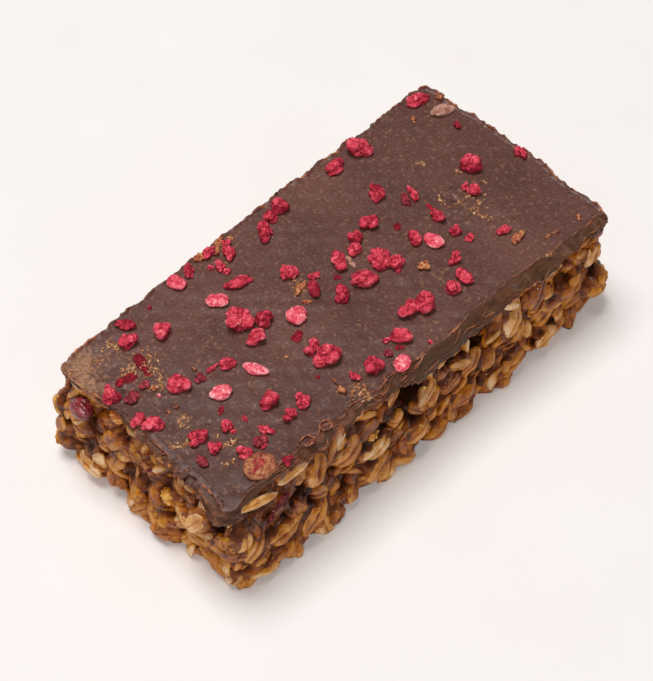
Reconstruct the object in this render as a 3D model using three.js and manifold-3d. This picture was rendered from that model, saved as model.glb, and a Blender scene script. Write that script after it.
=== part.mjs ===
// A granola bar: rolled oats pressed with syrup into an uneven slab, under a layer of dark chocolate
// that was poured, left to set and cut, with freeze-dried raspberry on top and a dried berry in one end.
// Millimetres, +Z up. X runs along the bar, and the origin is the middle of the face that it rests on.
import * as THREE from "three";
import { mergeVertices } from "three/addons/utils/BufferGeometryUtils.js";
import Module from "manifold-3d";

// ---- Driving sizes ----
const BAR_HEIGHT = 26.5; // from the table to the chocolate's top
const CORNER_RADIUS = 1.8;

// Outlines. The bar is wider at its +X end, by the widening as a share of its width for each millimetre.
const OAT_FOOT = { halfLength: 51.4, halfWidth: 25.5, widening: 0.0004 }; // at the table
const OAT_SHOULDER = { halfLength: 50.6, halfWidth: 24.0, widening: 0.0011 }; // under the chocolate
const CHOCOLATE = { halfLength: 50.6, halfWidth: 24.1, widening: 0.0011 }; // its top face

const OAT_TOP = { height: 21.9, perX: -0.03, perY: 0.05, bumps: 0.5 }; // its upper face slopes a little
const OAT_FOOT_ROUNDING = { inwards: 0.6, height: 2.5 };
const OAT_SHOULDER_ROUNDING = { inwards: 2.0, from: 15.5 };
const OAT_TOP_EDGE_DROP = 0.9; // the upper face falls by this much at its edge

const CLUSTER_ROWS = [1.9, 7.0, 12.2, 17.2]; // heights of the rows of oat clusters that stand out of the sides
const CLUSTER_PITCH = 7.4; // from one cluster to the next along the side
const CLUSTER_REACH = { least: 1.2, most: 3.2 };
const CLUSTER_HALF_LENGTH = { least: 3.4, most: 5.4 };
const CLUSTER_HALF_HEIGHT = { least: 2.6, most: 3.8 };
const CLUSTER_ROOT = 1.1; // how far inside the outline the clusters start
const CLUSTER_SCATTER = { along: 0.7, up: 2.4, lean: 1.2 }; // share of a pitch, millimetres, radians
const CLUSTER_FULLNESS = 0.6; // 0.5 is an ellipse's bulge, 1 is a pointed mound

// Larger clusters. Each one's place is its distance round the foot from the -X, -Y corner.
const LARGE_CLUSTERS = [
  { at: 9, height: 1.5, halfLength: 8, halfHeight: 4, reach: 3.4, lean: 0 },
  { at: 24, height: 1.5, halfLength: 8, halfHeight: 4, reach: 2.8, lean: 0 },
  { at: 102, height: 11, halfLength: 4.5, halfHeight: 4, reach: 3.8, lean: 0 },
  { at: -44, height: 16, halfLength: 5, halfHeight: 5, reach: 4.6, lean: 0 },
];

// The cut side, from its lower edge (down 1) to the rim (down 0); it stands further out towards the foot.
const CHOCOLATE_SIDE = [
  { down: 1, outwards: 0.5 },
  { down: 0.85, outwards: 0.9 },
  { down: 0.4, outwards: 0.45 },
];
const CHOCOLATE_UNDERSIDE = [0.3, 0.9]; // its rings of points, as shares of the way out
const CHOCOLATE_OVERLAP = 1.1; // how far it reaches down over the oats at the sides
const CHOCOLATE_WAVE = { size: 0.5, perMillimetre: 0.6 }; // waviness of its outline
const CHOCOLATE_LOWER_WAVE = { size: 0.7, perMillimetre: 0.6 }; // and of its lower edge
const CHOCOLATE_LIP = { height: 0.3, least: 0.6, wave: 0.4, perMillimetre: 0.5 }; // the rim that the knife leaves
const CHOCOLATE_SWELL = { height: 0.22, stretch: 0.35 }; // slow unevenness of the poured top
const CHOCOLATE_DEPTH = 15.9; // the block that the oats are cut out of starts at this height

// Places where the chocolate's lower edge has run down (down > 0) or has broken away (down < 0).
const CHOCOLATE_RUNS = [
  { x: -50, y: -21, radius: 4, down: 1.6 },
  { x: -50, y: -10, radius: 3, down: 2.4 },
  { x: -50, y: 5, radius: 6, down: -1.2 },
  { x: -45, y: -23, radius: 3, down: -2.2 },
  { x: -13, y: -23, radius: 4, down: -2.8 },
  { x: -2, y: -23, radius: 3, down: 2.2 },
  { x: 22, y: -23, radius: 3, down: -1.9 },
  { x: 36, y: -23, radius: 7, down: 1.0 },
  { x: 10, y: 23, radius: 8, down: 1.8 },
  { x: 50, y: 6, radius: 6, down: -1.5 },
];

const RASPBERRY_PIECES = [
  { name: "raspberry_piece_1", x: -20.0, y: 6.4, size: [2.7, 3.1, 1.9], turn: 0.5 },
  { name: "raspberry_piece_2", x: 9.9, y: -1.8, size: [2.3, 2.8, 1.8], turn: 0.8 },
  { name: "raspberry_piece_3", x: -14.2, y: -11.2, size: [3.0, 2.4, 1.9], turn: -0.3 },
  { name: "raspberry_half", x: -39.9, y: -20.2, size: [3.2, 2.7, 1.6], turn: 0.3 },
];
const DRIED_BERRY = { name: "dried_berry", x: -51.8, y: 15.6, z: 19.9, size: [2.2, 4.0, 2.6], turn: 0.1 };
const DRUPELETS = { count: 22, relief: 0.2 }; // the beads that a raspberry is made of
const WRINKLES = { count: 7, relief: 0.08 }; // the dried berry's skin
const BERRY_SINK = 0.6; // how deep the pieces sit in the chocolate
const BERRY_DETAIL = 2; // how often a berry's triangles are split

const CLEARANCE = 0.3; // gap between pieces that touch
const SIDE_STEP = 2.5; // spacing of the points round a layer
const HEIGHT_STEP = 2.3;
const CAP_RINGS = [0.96, 0.86, 0.66, 0.36]; // from a layer's edge in to its middle

// Seeds of the unevenness, so that no two surfaces have the same.
const SEEDS = { oatTop: 1.3, outline: 0.4, rim: 2, lowerEdge: 3, chocolateTop: 4 };
const BUMP_WAYS = [[0.55, 0.2], [-0.25, 0.6]]; // radians for each millimetre of x and y

// ---- Unevenness: sums of sines and a scrambling function, the same on every run ----
function waves(t, seed) {
  return (Math.sin(t + seed) + 0.6 * Math.sin(2.3 * t + 2 * seed) + 0.4 * Math.sin(4.1 * t + 3.7 * seed)) / 2;
}

function bumps(x, y, seed) {
  const heights = BUMP_WAYS.map(([alongX, alongY], i) => waves(alongX * x + alongY * y, seed + 5 * i));
  return (heights[0] + heights[1]) / 2;
}

function scrambled(n) {
  const value = Math.sin(n * 12.9898) * 43758.5453;
  return value - Math.floor(value);
}

function between({ least, most }, share) {
  return least + (most - least) * share;
}

// ---- The bar's outline: a rounded rectangle that widens towards +X ----
function outlineLength({ halfLength, halfWidth }) {
  return 4 * (halfLength + halfWidth - 2 * CORNER_RADIUS) + 2 * Math.PI * CORNER_RADIUS;
}

// The point at a share (0 to 1) of the way round, anticlockwise seen from above, moved outwards.
function outlinePoint({ halfLength, halfWidth, widening }, share, outwards) {
  const along = halfLength - CORNER_RADIUS;
  const across = halfWidth - CORNER_RADIUS;
  const sides = [
    { from: [-along, -across], run: 2 * along },
    { from: [along, -across], run: 2 * across },
    { from: [along, across], run: 2 * along },
    { from: [-along, across], run: 2 * across },
  ];
  const quarterArc = (Math.PI / 2) * CORNER_RADIUS;
  let left = (share - Math.floor(share)) * outlineLength({ halfLength, halfWidth });
  let side = 0;
  while (side < 3 && left > sides[side].run + quarterArc) {
    left -= sides[side].run + quarterArc;
    side += 1;
  }
  const { from, run } = sides[side];
  const heading = (side * Math.PI) / 2;
  const facing = heading - Math.PI / 2 + Math.max(0, left - run) / CORNER_RADIUS;
  const straight = Math.min(left, run);
  const reach = CORNER_RADIUS + outwards;
  const x = from[0] + Math.cos(heading) * straight + Math.cos(facing) * reach;
  const y = from[1] + Math.sin(heading) * straight + Math.sin(facing) * reach;
  return { x, y: y * (1 + widening * x) };
}

// A ring of points round an outline; outwards(i) moves each of them and height(x, y) lifts it.
function ringRound(outline, count, outwards, height) {
  return Array.from({ length: count }, (_, i) => {
    const { x, y } = outlinePoint(outline, i / count, outwards(i));
    return { x, y, z: height(x, y) };
  });
}

// ---- Closed bodies from rings of points ----
// The rings run from the bottom's middle point, out, up and in to the top's middle point. A ring is
// anticlockwise seen from above, and the first and the last are single points.
function bodyFromRings(rings) {
  const starts = [];
  const positions = [];
  for (const ring of rings) {
    starts.push(positions.length / 3);
    for (const { x, y, z } of ring) positions.push(x, y, z);
  }
  const corner = (r, i) => starts[r] + (i % rings[r].length);
  const indices = [];
  for (let r = 0; r + 1 < rings.length; r++) {
    const count = Math.max(rings[r].length, rings[r + 1].length);
    for (let i = 0; i < count; i++) {
      if (rings[r].length > 1) indices.push(corner(r, i), corner(r, i + 1), corner(r + 1, i + 1));
      if (rings[r + 1].length > 1) indices.push(corner(r, i), corner(r + 1, i + 1), corner(r + 1, i));
    }
  }
  const geometry = new THREE.BufferGeometry();
  geometry.setAttribute("position", new THREE.Float32BufferAttribute(positions, 3));
  return geometry.setIndex(indices);
}

// A lid: the edge ring drawn in towards the middle, each point lifted to height(x, y, share).
function capRings(edge, height) {
  const rings = CAP_RINGS.map((share) =>
    edge.map(({ x, y }) => ({ x: x * share, y: y * share, z: height(x * share, y * share, share) })),
  );
  return [...rings, [{ x: 0, y: 0, z: height(0, 0, 0) }]];
}

// ---- The oat layer ----
function oatTopHeight(x, y) {
  const { height, perX, perY } = OAT_TOP;
  return height + perX * x + perY * y + OAT_TOP.bumps * bumps(x, y, SEEDS.oatTop);
}

function oatOutline(height) {
  const sizeAt = (size) => THREE.MathUtils.lerp(OAT_FOOT[size], OAT_SHOULDER[size], height / OAT_TOP.height);
  return { halfLength: sizeAt("halfLength"), halfWidth: sizeAt("halfWidth"), widening: sizeAt("widening") };
}

// Clusters of flakes along the sides. Their places are distances round the foot's outline.
function oatClusters() {
  const round = outlineLength(OAT_FOOT);
  const inRow = Math.round(round / CLUSTER_PITCH);
  const rows = CLUSTER_ROWS.flatMap((row, r) =>
    Array.from({ length: inRow }, (_, i) => {
      const n = r * inRow + i + 1;
      return {
        at: ((i + 0.5 * (r % 2) + CLUSTER_SCATTER.along * (scrambled(n) - 0.5)) * round) / inRow,
        height: row + CLUSTER_SCATTER.up * (scrambled(n + 0.31) - 0.5),
        halfLength: between(CLUSTER_HALF_LENGTH, scrambled(n + 0.47)),
        halfHeight: between(CLUSTER_HALF_HEIGHT, scrambled(n + 0.59)),
        reach: between(CLUSTER_REACH, scrambled(n + 0.73)),
        lean: CLUSTER_SCATTER.lean * (scrambled(n + 0.89) - 0.5),
      };
    }),
  );
  return [...rows, ...LARGE_CLUSTERS];
}

// How far the clusters stand out at a place on the side: the furthest of the mounds that cover it.
function clusterReach(clusters, at, height) {
  const round = outlineLength(OAT_FOOT);
  const reaches = clusters.map((c) => {
    const along = at - c.at - round * Math.round((at - c.at) / round);
    const above = height - c.height;
    const u = (along * Math.cos(c.lean) + above * Math.sin(c.lean)) / c.halfLength;
    const v = (above * Math.cos(c.lean) - along * Math.sin(c.lean)) / c.halfHeight;
    return c.reach * Math.max(0, 1 - u * u - v * v) ** CLUSTER_FULLNESS;
  });
  return Math.max(...reaches);
}

// The side's shape without clusters: rounded in at the foot and at the shoulder.
function oatSideProfile(height) {
  const foot = Math.max(0, 1 - height / OAT_FOOT_ROUNDING.height);
  const { inwards, from } = OAT_SHOULDER_ROUNDING;
  const shoulder = Math.max(0, (height - from) / (OAT_TOP.height - from));
  return -OAT_FOOT_ROUNDING.inwards * foot ** 2 - inwards * shoulder ** 2;
}

// The oat layer, with its sides and its upper face grown by `grown`, by which the chocolate is cut.
function oatLayerGeometry(grown) {
  const clusters = oatClusters();
  const round = outlineLength(OAT_FOOT);
  const count = Math.round(round / SIDE_STEP);
  const sideHeight = OAT_TOP.height - OAT_TOP_EDGE_DROP;
  const levels = Math.round(sideHeight / HEIGHT_STEP);
  const side = Array.from({ length: levels + 1 }, (_, level) => {
    const share = level / levels;
    const height = share * sideHeight;
    const outwards = (i) =>
      oatSideProfile(height) - CLUSTER_ROOT + clusterReach(clusters, (i / count) * round, height) + grown;
    const lifted = (x, y) => share * (oatTopHeight(x, y) - OAT_TOP_EDGE_DROP + grown);
    return ringRound(oatOutline(height), count, outwards, lifted);
  });
  const top = capRings(side[levels], (x, y) => oatTopHeight(x, y) + grown);
  return bodyFromRings([[{ x: 0, y: 0, z: 0 }], ...side, ...top]);
}

// ---- The chocolate layer ----
function chocolateTopHeight(x, y) {
  const { height, stretch } = CHOCOLATE_SWELL;
  return BAR_HEIGHT - CHOCOLATE_LIP.height + height * bumps(stretch * x, stretch * y, SEEDS.chocolateTop);
}

function chocolateRimHeight(x, y) {
  const { height, least, wave, perMillimetre } = CHOCOLATE_LIP;
  return chocolateTopHeight(x, y) + height * (least + wave * waves(perMillimetre * (x + y), SEEDS.rim));
}

function chocolateLowerEdge(x, y) {
  const down = CHOCOLATE_RUNS.reduce((sum, run) => {
    const away = Math.hypot(x - run.x, y - run.y) / run.radius;
    return sum + run.down * Math.exp(-away * away);
  }, 0);
  const { size, perMillimetre } = CHOCOLATE_LOWER_WAVE;
  return oatTopHeight(x, y) - CHOCOLATE_OVERLAP + size * waves(perMillimetre * (x - y), SEEDS.lowerEdge) - down;
}

// The block that the chocolate is cut from: top face, cut side, and an underside deep in the oats.
function chocolateBlockGeometry() {
  const round = outlineLength(CHOCOLATE);
  const count = Math.round(round / SIDE_STEP);
  const { size, perMillimetre } = CHOCOLATE_WAVE;
  const wave = (i) => size * waves((perMillimetre * i * round) / count, SEEDS.outline);
  const sideRing = (down, outwards) =>
    ringRound(CHOCOLATE, count, (i) => wave(i) + outwards, (x, y) =>
      THREE.MathUtils.lerp(chocolateRimHeight(x, y), chocolateLowerEdge(x, y), down),
    );
  const rim = sideRing(0, 0);
  const side = [...CHOCOLATE_SIDE.map(({ down, outwards }) => sideRing(down, outwards)), rim];
  const underside = CHOCOLATE_UNDERSIDE.map((share) =>
    side[0].map(({ x, y, z }) => ({ x: x * share, y: y * share, z: Math.min(z, CHOCOLATE_DEPTH) })),
  );
  const bottom = [{ x: 0, y: 0, z: CHOCOLATE_DEPTH }];
  return bodyFromRings([bottom, ...underside, ...side, ...capRings(rim, chocolateTopHeight)]);
}

// ---- Berries: spheres drawn in between beads ----
function berryGeometry({ size, turn }, { count, relief }, grown) {
  const geometry = mergeVertices(bare(new THREE.IcosahedronGeometry(1, BERRY_DETAIL)));
  const position = geometry.getAttribute("position");
  const beads = Array.from({ length: count }, (_, i) => beadDirection(i, count));
  const point = new THREE.Vector3();
  for (let i = 0; i < position.count; i++) {
    point.fromBufferAttribute(position, i).normalize();
    const nearest = Math.max(...beads.map((bead) => bead.dot(point)));
    const within = Math.max(0, 1 - (1 - nearest) * (count / 2));
    point.multiplyScalar(1 - relief + relief * Math.sqrt(within));
    position.setXYZ(i, ...point.toArray().map((share, axis) => share * (size[axis] + grown)));
  }
  return geometry.rotateZ(turn);
}

// Evenly spread directions, on a spiral with the golden angle.
function beadDirection(i, count) {
  const z = 1 - (2 * (i + 0.5)) / count;
  const across = Math.sqrt(1 - z * z);
  const angle = i * Math.PI * (3 - Math.sqrt(5));
  return new THREE.Vector3(across * Math.cos(angle), across * Math.sin(angle), z);
}

function driedBerrySolid(grown) {
  const { x, y, z } = DRIED_BERRY;
  return solidFrom(berryGeometry(DRIED_BERRY, WRINKLES, grown).translate(x, y, z));
}

function raspberrySolid(piece, grown) {
  const z = chocolateTopHeight(piece.x, piece.y) - BERRY_SINK + piece.size[2] * (1 - DRUPELETS.relief);
  return solidFrom(berryGeometry(piece, DRUPELETS, grown).translate(piece.x, piece.y, z));
}

// ---- Joining and cutting ----
function bare(geometry) {
  geometry.deleteAttribute("normal");
  geometry.deleteAttribute("uv");
  return geometry;
}

const wasm = await Module();
wasm.setup();

function solidFrom(geometry) {
  const merged = mergeVertices(bare(geometry));
  const vertProperties = new Float32Array(merged.getAttribute("position").array);
  const triVerts = new Uint32Array(merged.index.array);
  return new wasm.Manifold(new wasm.Mesh({ numProp: 3, vertProperties, triVerts }));
}

function geometryFrom(solid) {
  const mesh = solid.getMesh();
  const geometry = new THREE.BufferGeometry();
  geometry.setAttribute("position", new THREE.BufferAttribute(mesh.vertProperties, 3));
  geometry.setIndex(new THREE.BufferAttribute(mesh.triVerts, 1));
  geometry.computeVertexNormals();
  return geometry;
}

function largestBody(solid) {
  return solid.decompose().reduce((a, b) => (a.volume() > b.volume() ? a : b));
}

// ---- The bar ----
const materials = {
  oats: new THREE.MeshStandardMaterial({ color: 0x9a6427, roughness: 0.4, metalness: 0 }),
  chocolate: new THREE.MeshStandardMaterial({ color: 0x4f3a35, roughness: 0.5, metalness: 0 }),
  raspberry: new THREE.MeshStandardMaterial({ color: 0xc23348, roughness: 0.85, metalness: 0 }),
  driedBerry: new THREE.MeshStandardMaterial({ color: 0x7a2430, roughness: 0.4, metalness: 0 }),
};

function namedMesh(name, solid, material) {
  const mesh = new THREE.Mesh(geometryFrom(solid), material);
  mesh.name = name;
  return mesh;
}

function oatLayer() {
  return largestBody(solidFrom(oatLayerGeometry(0)).subtract(driedBerrySolid(CLEARANCE)));
}

function chocolateLayer() {
  const cutters = [
    solidFrom(oatLayerGeometry(CLEARANCE)),
    driedBerrySolid(CLEARANCE),
    ...RASPBERRY_PIECES.map((piece) => raspberrySolid(piece, CLEARANCE)),
  ];
  const block = solidFrom(chocolateBlockGeometry());
  return largestBody(cutters.reduce((left, cutter) => left.subtract(cutter), block));
}

// Moves the bar sideways so that the middle of its box is on the Z axis.
function centred(bar) {
  const middle = new THREE.Box3().setFromObject(bar, true).getCenter(new THREE.Vector3());
  bar.position.set(-middle.x, -middle.y, 0);
  return bar;
}

function makeBar() {
  const bar = new THREE.Group();
  bar.add(namedMesh("oat_layer", oatLayer(), materials.oats));
  bar.add(namedMesh("chocolate_layer", chocolateLayer(), materials.chocolate));
  bar.add(namedMesh(DRIED_BERRY.name, driedBerrySolid(0), materials.driedBerry));
  for (const piece of RASPBERRY_PIECES) {
    bar.add(namedMesh(piece.name, raspberrySolid(piece, 0), materials.raspberry));
  }
  return centred(bar);
}

export default makeBar();
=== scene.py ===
"""The looks of a granola bar: rolled oats baked in golden syrup under a layer of dark chocolate, with
crumbs of freeze-dried raspberry on top. Shapes are worked out in millimetres and stored in metres."""

import math
from functools import partial

import bpy
import numpy as np
from mathutils import Matrix, Vector


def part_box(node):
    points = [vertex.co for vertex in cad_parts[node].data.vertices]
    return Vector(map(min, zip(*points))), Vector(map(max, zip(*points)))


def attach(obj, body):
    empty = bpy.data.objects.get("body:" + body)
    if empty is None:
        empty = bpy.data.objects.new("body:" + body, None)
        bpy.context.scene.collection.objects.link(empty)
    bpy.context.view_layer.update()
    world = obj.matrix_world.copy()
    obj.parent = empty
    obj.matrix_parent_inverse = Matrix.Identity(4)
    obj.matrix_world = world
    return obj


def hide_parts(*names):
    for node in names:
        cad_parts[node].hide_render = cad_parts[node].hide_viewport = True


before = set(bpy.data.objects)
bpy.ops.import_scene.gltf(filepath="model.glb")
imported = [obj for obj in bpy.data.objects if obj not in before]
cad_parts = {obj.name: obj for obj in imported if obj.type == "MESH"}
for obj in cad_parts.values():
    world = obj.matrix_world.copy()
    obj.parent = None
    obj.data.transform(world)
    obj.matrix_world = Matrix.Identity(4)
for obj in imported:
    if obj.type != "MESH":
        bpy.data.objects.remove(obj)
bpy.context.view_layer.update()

MM = 0.001
TURN = 2 * math.pi
EMPTY = -99.0  # in a map, a cell that nothing has reached
WAVES = 14  # that make up a field of noise
SAMPLES = 400000  # random points that a node of the frame is read by
SIGHT_STEPS = 10  # to where a sight line meets an uneven side
UPWARD = np.array([0, 0, 1.0])

# ---- The camera, which the pixel places below are read through ----
FRAME_PIXELS = (653, 681)
PIXELS_PER_MM = 5.09  # across the sight line, at the bar
CAMERA_AZIMUTH, CAMERA_ELEVATION = math.radians(-44.927), math.radians(52.074)
CAMERA_PLACE = np.array([-172.06, -169.60, 319.19])  # millimetres
LENS, SENSOR = 105.0, 36.0  # millimetres, the sensor's up the frame

# ---- The outline that places round the bar are counted on, in millimetres ----
HALF_LENGTH, HALF_WIDTH, CORNER = 50.6, 24.1, 1.8
WIDENING = 0.0011  # of the width, for each millimetre towards +X
SIDES = ("front", "right", "back", "left")
LEFT_END = 4 * HALF_LENGTH + 2 * HALF_WIDTH  # distance where the -X end begins
SIDE_STARTS = np.array([0, 2 * HALF_LENGTH, 2 * (HALF_LENGTH + HALF_WIDTH), LEFT_END])
OUTLINE_LENGTH = 4 * (HALF_LENGTH + HALF_WIDTH)
MAP_STEP = 0.5  # cells of the maps that are read off the frame
MAP_LEVELS = 50

# ---- Oats ----
FLAKE_LENGTH, FLAKE_WIDTH, FLAKE_THICKNESS = (5.2, 8.4), (3.4, 5.2), (1.5, 2.4)
NAMED_THICKNESS, HUSK_THICKNESS = 2.4, 0.8
KERNEL_SHARE = 0.22  # of the flakes that are thick, half-pressed kernels
KERNEL_SIZE = (0.72, 0.9, 1.6)  # of a kernel, as shares of a flake's
# Points round a flake, and its rings under and over the rim as shares of the way from middle to rim.
PLAIN_FLAKE = (14, (0.6,), (0.84, 0.55, 0.25))
NAMED_FLAKE = (30, (0.85, 0.5), (0.92, 0.78, 0.6, 0.4, 0.2))
# Sunk under the oats' surface, spacing, most, seed.
FLAKE_LAYERS = [(0.9, 3.4, 440, 101), (1.8, 3.6, 380, 111), (2.8, 4.2, 240, 121)]
FLAKE_TRIES = 12000  # random places that a layer's flakes are picked from
# Share of all flakes, and their tone from and to.
OAT_KINDS = {"pale": (0.16, 0.62, 0.9), "amber": (0.52, 0.38, 0.64), "brown": (0.32, 0.22, 0.42)}
# Flakes that show well: pixel, the side they are on, length, width, lean from level in degrees, kind.
HERO_FLAKES = [
    (513, 319, "front", 8.4, 5.4, 58, "pale"), (351, 449, "front", 9.4, 5.2, 27, "amber"),
    (379, 465, "front", 8.2, 4.2, 22, "amber"), (317, 470, "front", 7.6, 4.6, 60, "amber"),
    (315, 516, "front", 9.0, 4.0, 43, "amber"), (286, 530, "front", 8.8, 3.8, 10, "amber"),
    (470, 362, "front", 7.0, 4.2, 45, "amber"), (426, 391, "front", 6.6, 3.4, 40, "pale"),
    (464, 396, "front", 8.0, 3.8, 8, "amber"), (512, 362, "front", 7.2, 3.8, 12, "amber"),
    (537, 295, "front", 7.4, 4.8, 55, "brown"), (545, 336, "front", 6.8, 3.4, 8, "pale"),
    (571, 288, "front", 6.6, 4.0, 20, "amber"), (578, 301, "front", 6.6, 4.2, 30, "amber"),
    (592, 253, "front", 6.4, 4.8, 60, "pale"), (245, 541, "front", 5.6, 3.2, 80, "pale"),
    (197, 521, "left", 5.4, 4.0, 60, "pale"), (113, 440, "left", 7.0, 4.4, 52, "amber"),
    (90, 463, "left", 7.4, 3.4, -12, "pale"), (118, 461, "left", 5.6, 3.8, 70, "amber"),
    (62, 418, "left", 6.0, 4.4, 70, "amber"), (215, 560, "left", 8.0, 3.6, -20, "amber"),
]
HUSKS = [(253, 499, "front", 9.5, 2.0, -14), (290, 469, "front", 7.5, 1.8, 0)]  # as the flakes
# Round lumps of syrup and oat: pixel, side, size across, height and outwards.
LUMPS = [
    (597, 282, "front", 6.8, 5.6, 5.0), (61, 403, "left", 4.0, 4.4, 4.6), (63, 421, "left", 3.8, 2.8, 3.4),
    (62, 435, "left", 3.0, 2.2, 3.6), (79, 431, "left", 3.6, 3.6, 2.4), (110, 443, "left", 5.6, 3.4, 3.0),
    (116, 466, "left", 3.0, 4.6, 2.8), (135, 455, "left", 4.0, 4.6, 3.0), (138, 494, "left", 4.6, 4.0, 3.4),
    (168, 498, "left", 3.8, 3.4, 3.2), (160, 521, "left", 4.4, 4.0, 3.4), (226, 546, "left", 5.8, 5.2, 3.4),
    (262, 560, "front", 3.4, 3.0, 2.6), (550, 275, "front", 3.6, 3.2, 2.6),
    (375, 437, "front", 2.6, 2.6, 2.0),
]
# Bits of raspberry among the oats: pixel, side, length, width, lean.
SUNK_RASPBERRY = [
    (282, 501, "front", 3.8, 2.8, 60), (271, 517, "front", 3.0, 1.8, 20), (234, 544, "front", 2.8, 1.8, 40),
    (402, 440, "front", 1.4, 0.9, 30), (150, 470, "left", 1.4, 0.9, 30),
]
# Holes: pixel, side, radius, depth.
CAVITIES = [
    (409, 396, "front", 2.3, 4.5), (480, 340, "front", 1.9, 4.0), (300, 498, "front", 1.5, 2.6),
    (387, 434, "front", 0.9, 2.0), (545, 286, "front", 1.2, 2.4), (214, 530, "left", 1.3, 2.4),
]
# Where the oats bulge out or draw in: distance round the bar, height, half sizes, amount.
SWELLS = [
    (277.5, 3, 7, 6, 1.2), (257, 3, 5, 5, 0.5), (252, 8, 3.5, 3.5, 0.5), (252, 2, 2.5, 3, 0.9),
    (264, 2, 3.5, 4, -0.9), (270, 3, 8, 4, 0.5), (293, 4, 5, 7, -1.3), (297, 1, 3, 3, -0.6),
    (287, 2, 3, 4, 0.5), (96, 1, 4, 2.5, -1.4), (97.5, 4, 2.5, 3, -1.0), (88, 2, 3.5, 4, 1.1),
    (71, 2, 2.5, 4, 0.8), (65, 2, 2.5, 4, -0.7), (28.5, 2, 3, 4, -0.9), (80, 1, 6, 2.5, -0.9),
    (1.5, 4, 5, 7, -0.8), (18, 2, 10, 4, 0.5), (40, 2, 12, 4, 0.4), (75, 2, 14, 4, 0.5),
    (101, 11.5, 4, 3, -1.8), (100, 1, 5, 3, -1.6),
]
DEEPEST_REACH = -1.2
LEDGE_REACH = -0.45  # the least reach of the oats' surface, which runs on up behind the chocolate
OAT_STOPS = [  # from the painted shade of a deep crevice, where syrup has pooled, to a dry, pale rim
    (0.0, "#2E1004"), (0.2, "#6E300A"), (0.4, "#A25610"),
    (0.6, "#C67C22"), (0.8, "#DE9F54"), (1.0, "#F0C89C"),
]
# The syrup's ramp also runs from the painted shade of a deep crevice up to its palest amber.
SYRUP_STOPS = [(0.0, "#200B04"), (0.25, "#642A08"), (0.5, "#A85C0C"), (0.75, "#CC861C"), (1.0, "#E2AC4E")]
BINDER_STEP, BINDER_LEVELS = 0.4, 63  # cells of the map of the syrup's surface
BINDER_SHARPNESS = 2.0  # of the edges that its softening keeps, per millimetre
DEEP_CREVICE = 1.9  # from the top of a hump to where a crevice counts as fully deep
CORE_AROUND, CORE_ROWS, CORE_TOP = 780, 60, 24.2  # points round the oats' core, its rows, its height
CORE_CAPS = (0.97, 0.9, 0.78, 0.6, 0.4, 0.2)  # rings of its ends, as shares of its outline

# ---- Chocolate ----
CHOCOLATE_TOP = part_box("chocolate_layer")[1].z / MM - 0.4
# The lower edge of the chocolate: pixels along the front and along the left end, both from the near corner.
LOWER_EDGE = {
    "front": [
        (233, 528), (238, 520), (242, 508), (250, 500), (262, 490), (272, 482), (281, 476), (290, 470),
        (300, 465), (308, 459), (315, 455), (322, 450), (334, 438), (343, 429), (350, 424), (358, 417),
        (365, 412), (371, 408), (378, 405), (385, 400), (392, 396), (400, 389), (408, 386), (415, 383),
        (425, 379), (436, 371), (441, 365), (447, 360), (458, 351), (470, 341), (482, 329), (497, 316),
        (512, 303), (527, 290), (535, 284), (543, 283), (549, 276), (563, 262), (577, 249), (590, 237),
        (603, 229),
    ],
    "left": [
        (221, 531), (212, 520), (203, 508), (197, 495), (184, 482), (175, 474), (165, 462), (152, 449),
        (140, 440), (133, 432), (124, 420), (112, 409), (104, 403), (97, 399), (90, 392), (83, 389),
        (74, 385),
    ],
}
# The edge of the chocolate's top, in pixels along each side. The front and left rows were read one by one.
# The right and back rows are the output of a program that stepped along the bar's outline every 9 pixels,
# with a few rows left out and five moved by 2 to 4 pixels.
UPPER_EDGE = {
    "front": [
        (234, 509), (245, 495), (262, 484), (285, 460), (312, 440), (322, 427), (338, 418), (355, 403),
        (375, 391), (388, 379), (403, 368), (418, 358), (433, 346), (447, 337), (461, 323), (472, 312),
        (487, 300), (500, 289), (512, 279), (527, 268), (543, 257), (558, 246), (575, 234), (590, 222),
        (600, 214),
    ],
    "right": [
        (599, 206), (590, 200), (581, 194), (572, 189), (563, 183), (554, 175), (545, 164), (536, 159),
        (518, 147), (509, 141), (500, 134), (491, 127), (482, 121), (473, 116), (464, 112), (455, 106),
        (446, 101), (437, 93),
    ],
    "back": [
        (417, 92), (408, 95), (399, 104), (390, 111), (381, 116), (372, 127), (363, 133), (354, 139),
        (345, 142), (336, 154), (327, 158), (318, 162), (309, 171), (300, 179), (291, 183), (282, 191),
        (273, 199), (255, 212), (246, 218), (237, 225), (228, 232), (219, 239), (210, 246), (192, 259),
        (183, 268), (174, 276), (165, 281), (156, 286), (147, 296), (138, 303), (129, 309), (111, 325),
        (93, 340), (84, 347), (75, 353), (68, 360),
    ],
    "left": [
        (68, 376), (72, 380), (85, 388), (98, 396), (113, 405), (126, 419), (140, 428), (150, 438),
        (160, 446), (176, 461), (189, 473), (203, 484), (214, 497), (222, 506),
    ],
}
CHOCOLATE_GRID = (264, 126)  # points along and across its top
CUT_ROWS = 14  # rows of points down its cut sides
THINNEST = 1.2  # the least depth of chocolate at its edge, in millimetres
SLUMP = 0.5  # how far the chocolate has slumped outwards at the near corner
TOP_MARGIN = 0.7  # from its edge in to the outermost points of the top's grid
UNDER_MARGIN = 5.0  # the same, for its underside
# Pin holes and dents in the top: pixel, radius, depth. The holes are darkened with painted shade.
DIMPLES = [
    (454.3, 200.6, 0.75, 0.5), (451.8, 187.2, 0.5, 0.4), (444.7, 222.3, 0.8, 0.35),
    (441.0, 196.0, 0.6, 0.3), (559.0, 203.0, 0.35, 0.3), (193.4, 368.5, 0.45, 0.3),
    (208.0, 423.3, 0.5, 0.3), (179.3, 406.8, 0.5, 0.3), (351.0, 278.0, 0.6, 0.25), (123.0, 389.0, 0.9, 0.5),
    (489.0, 221.0, 0.4, 0.25), (216.0, 254.0, 0.9, 0.35),
]
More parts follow.
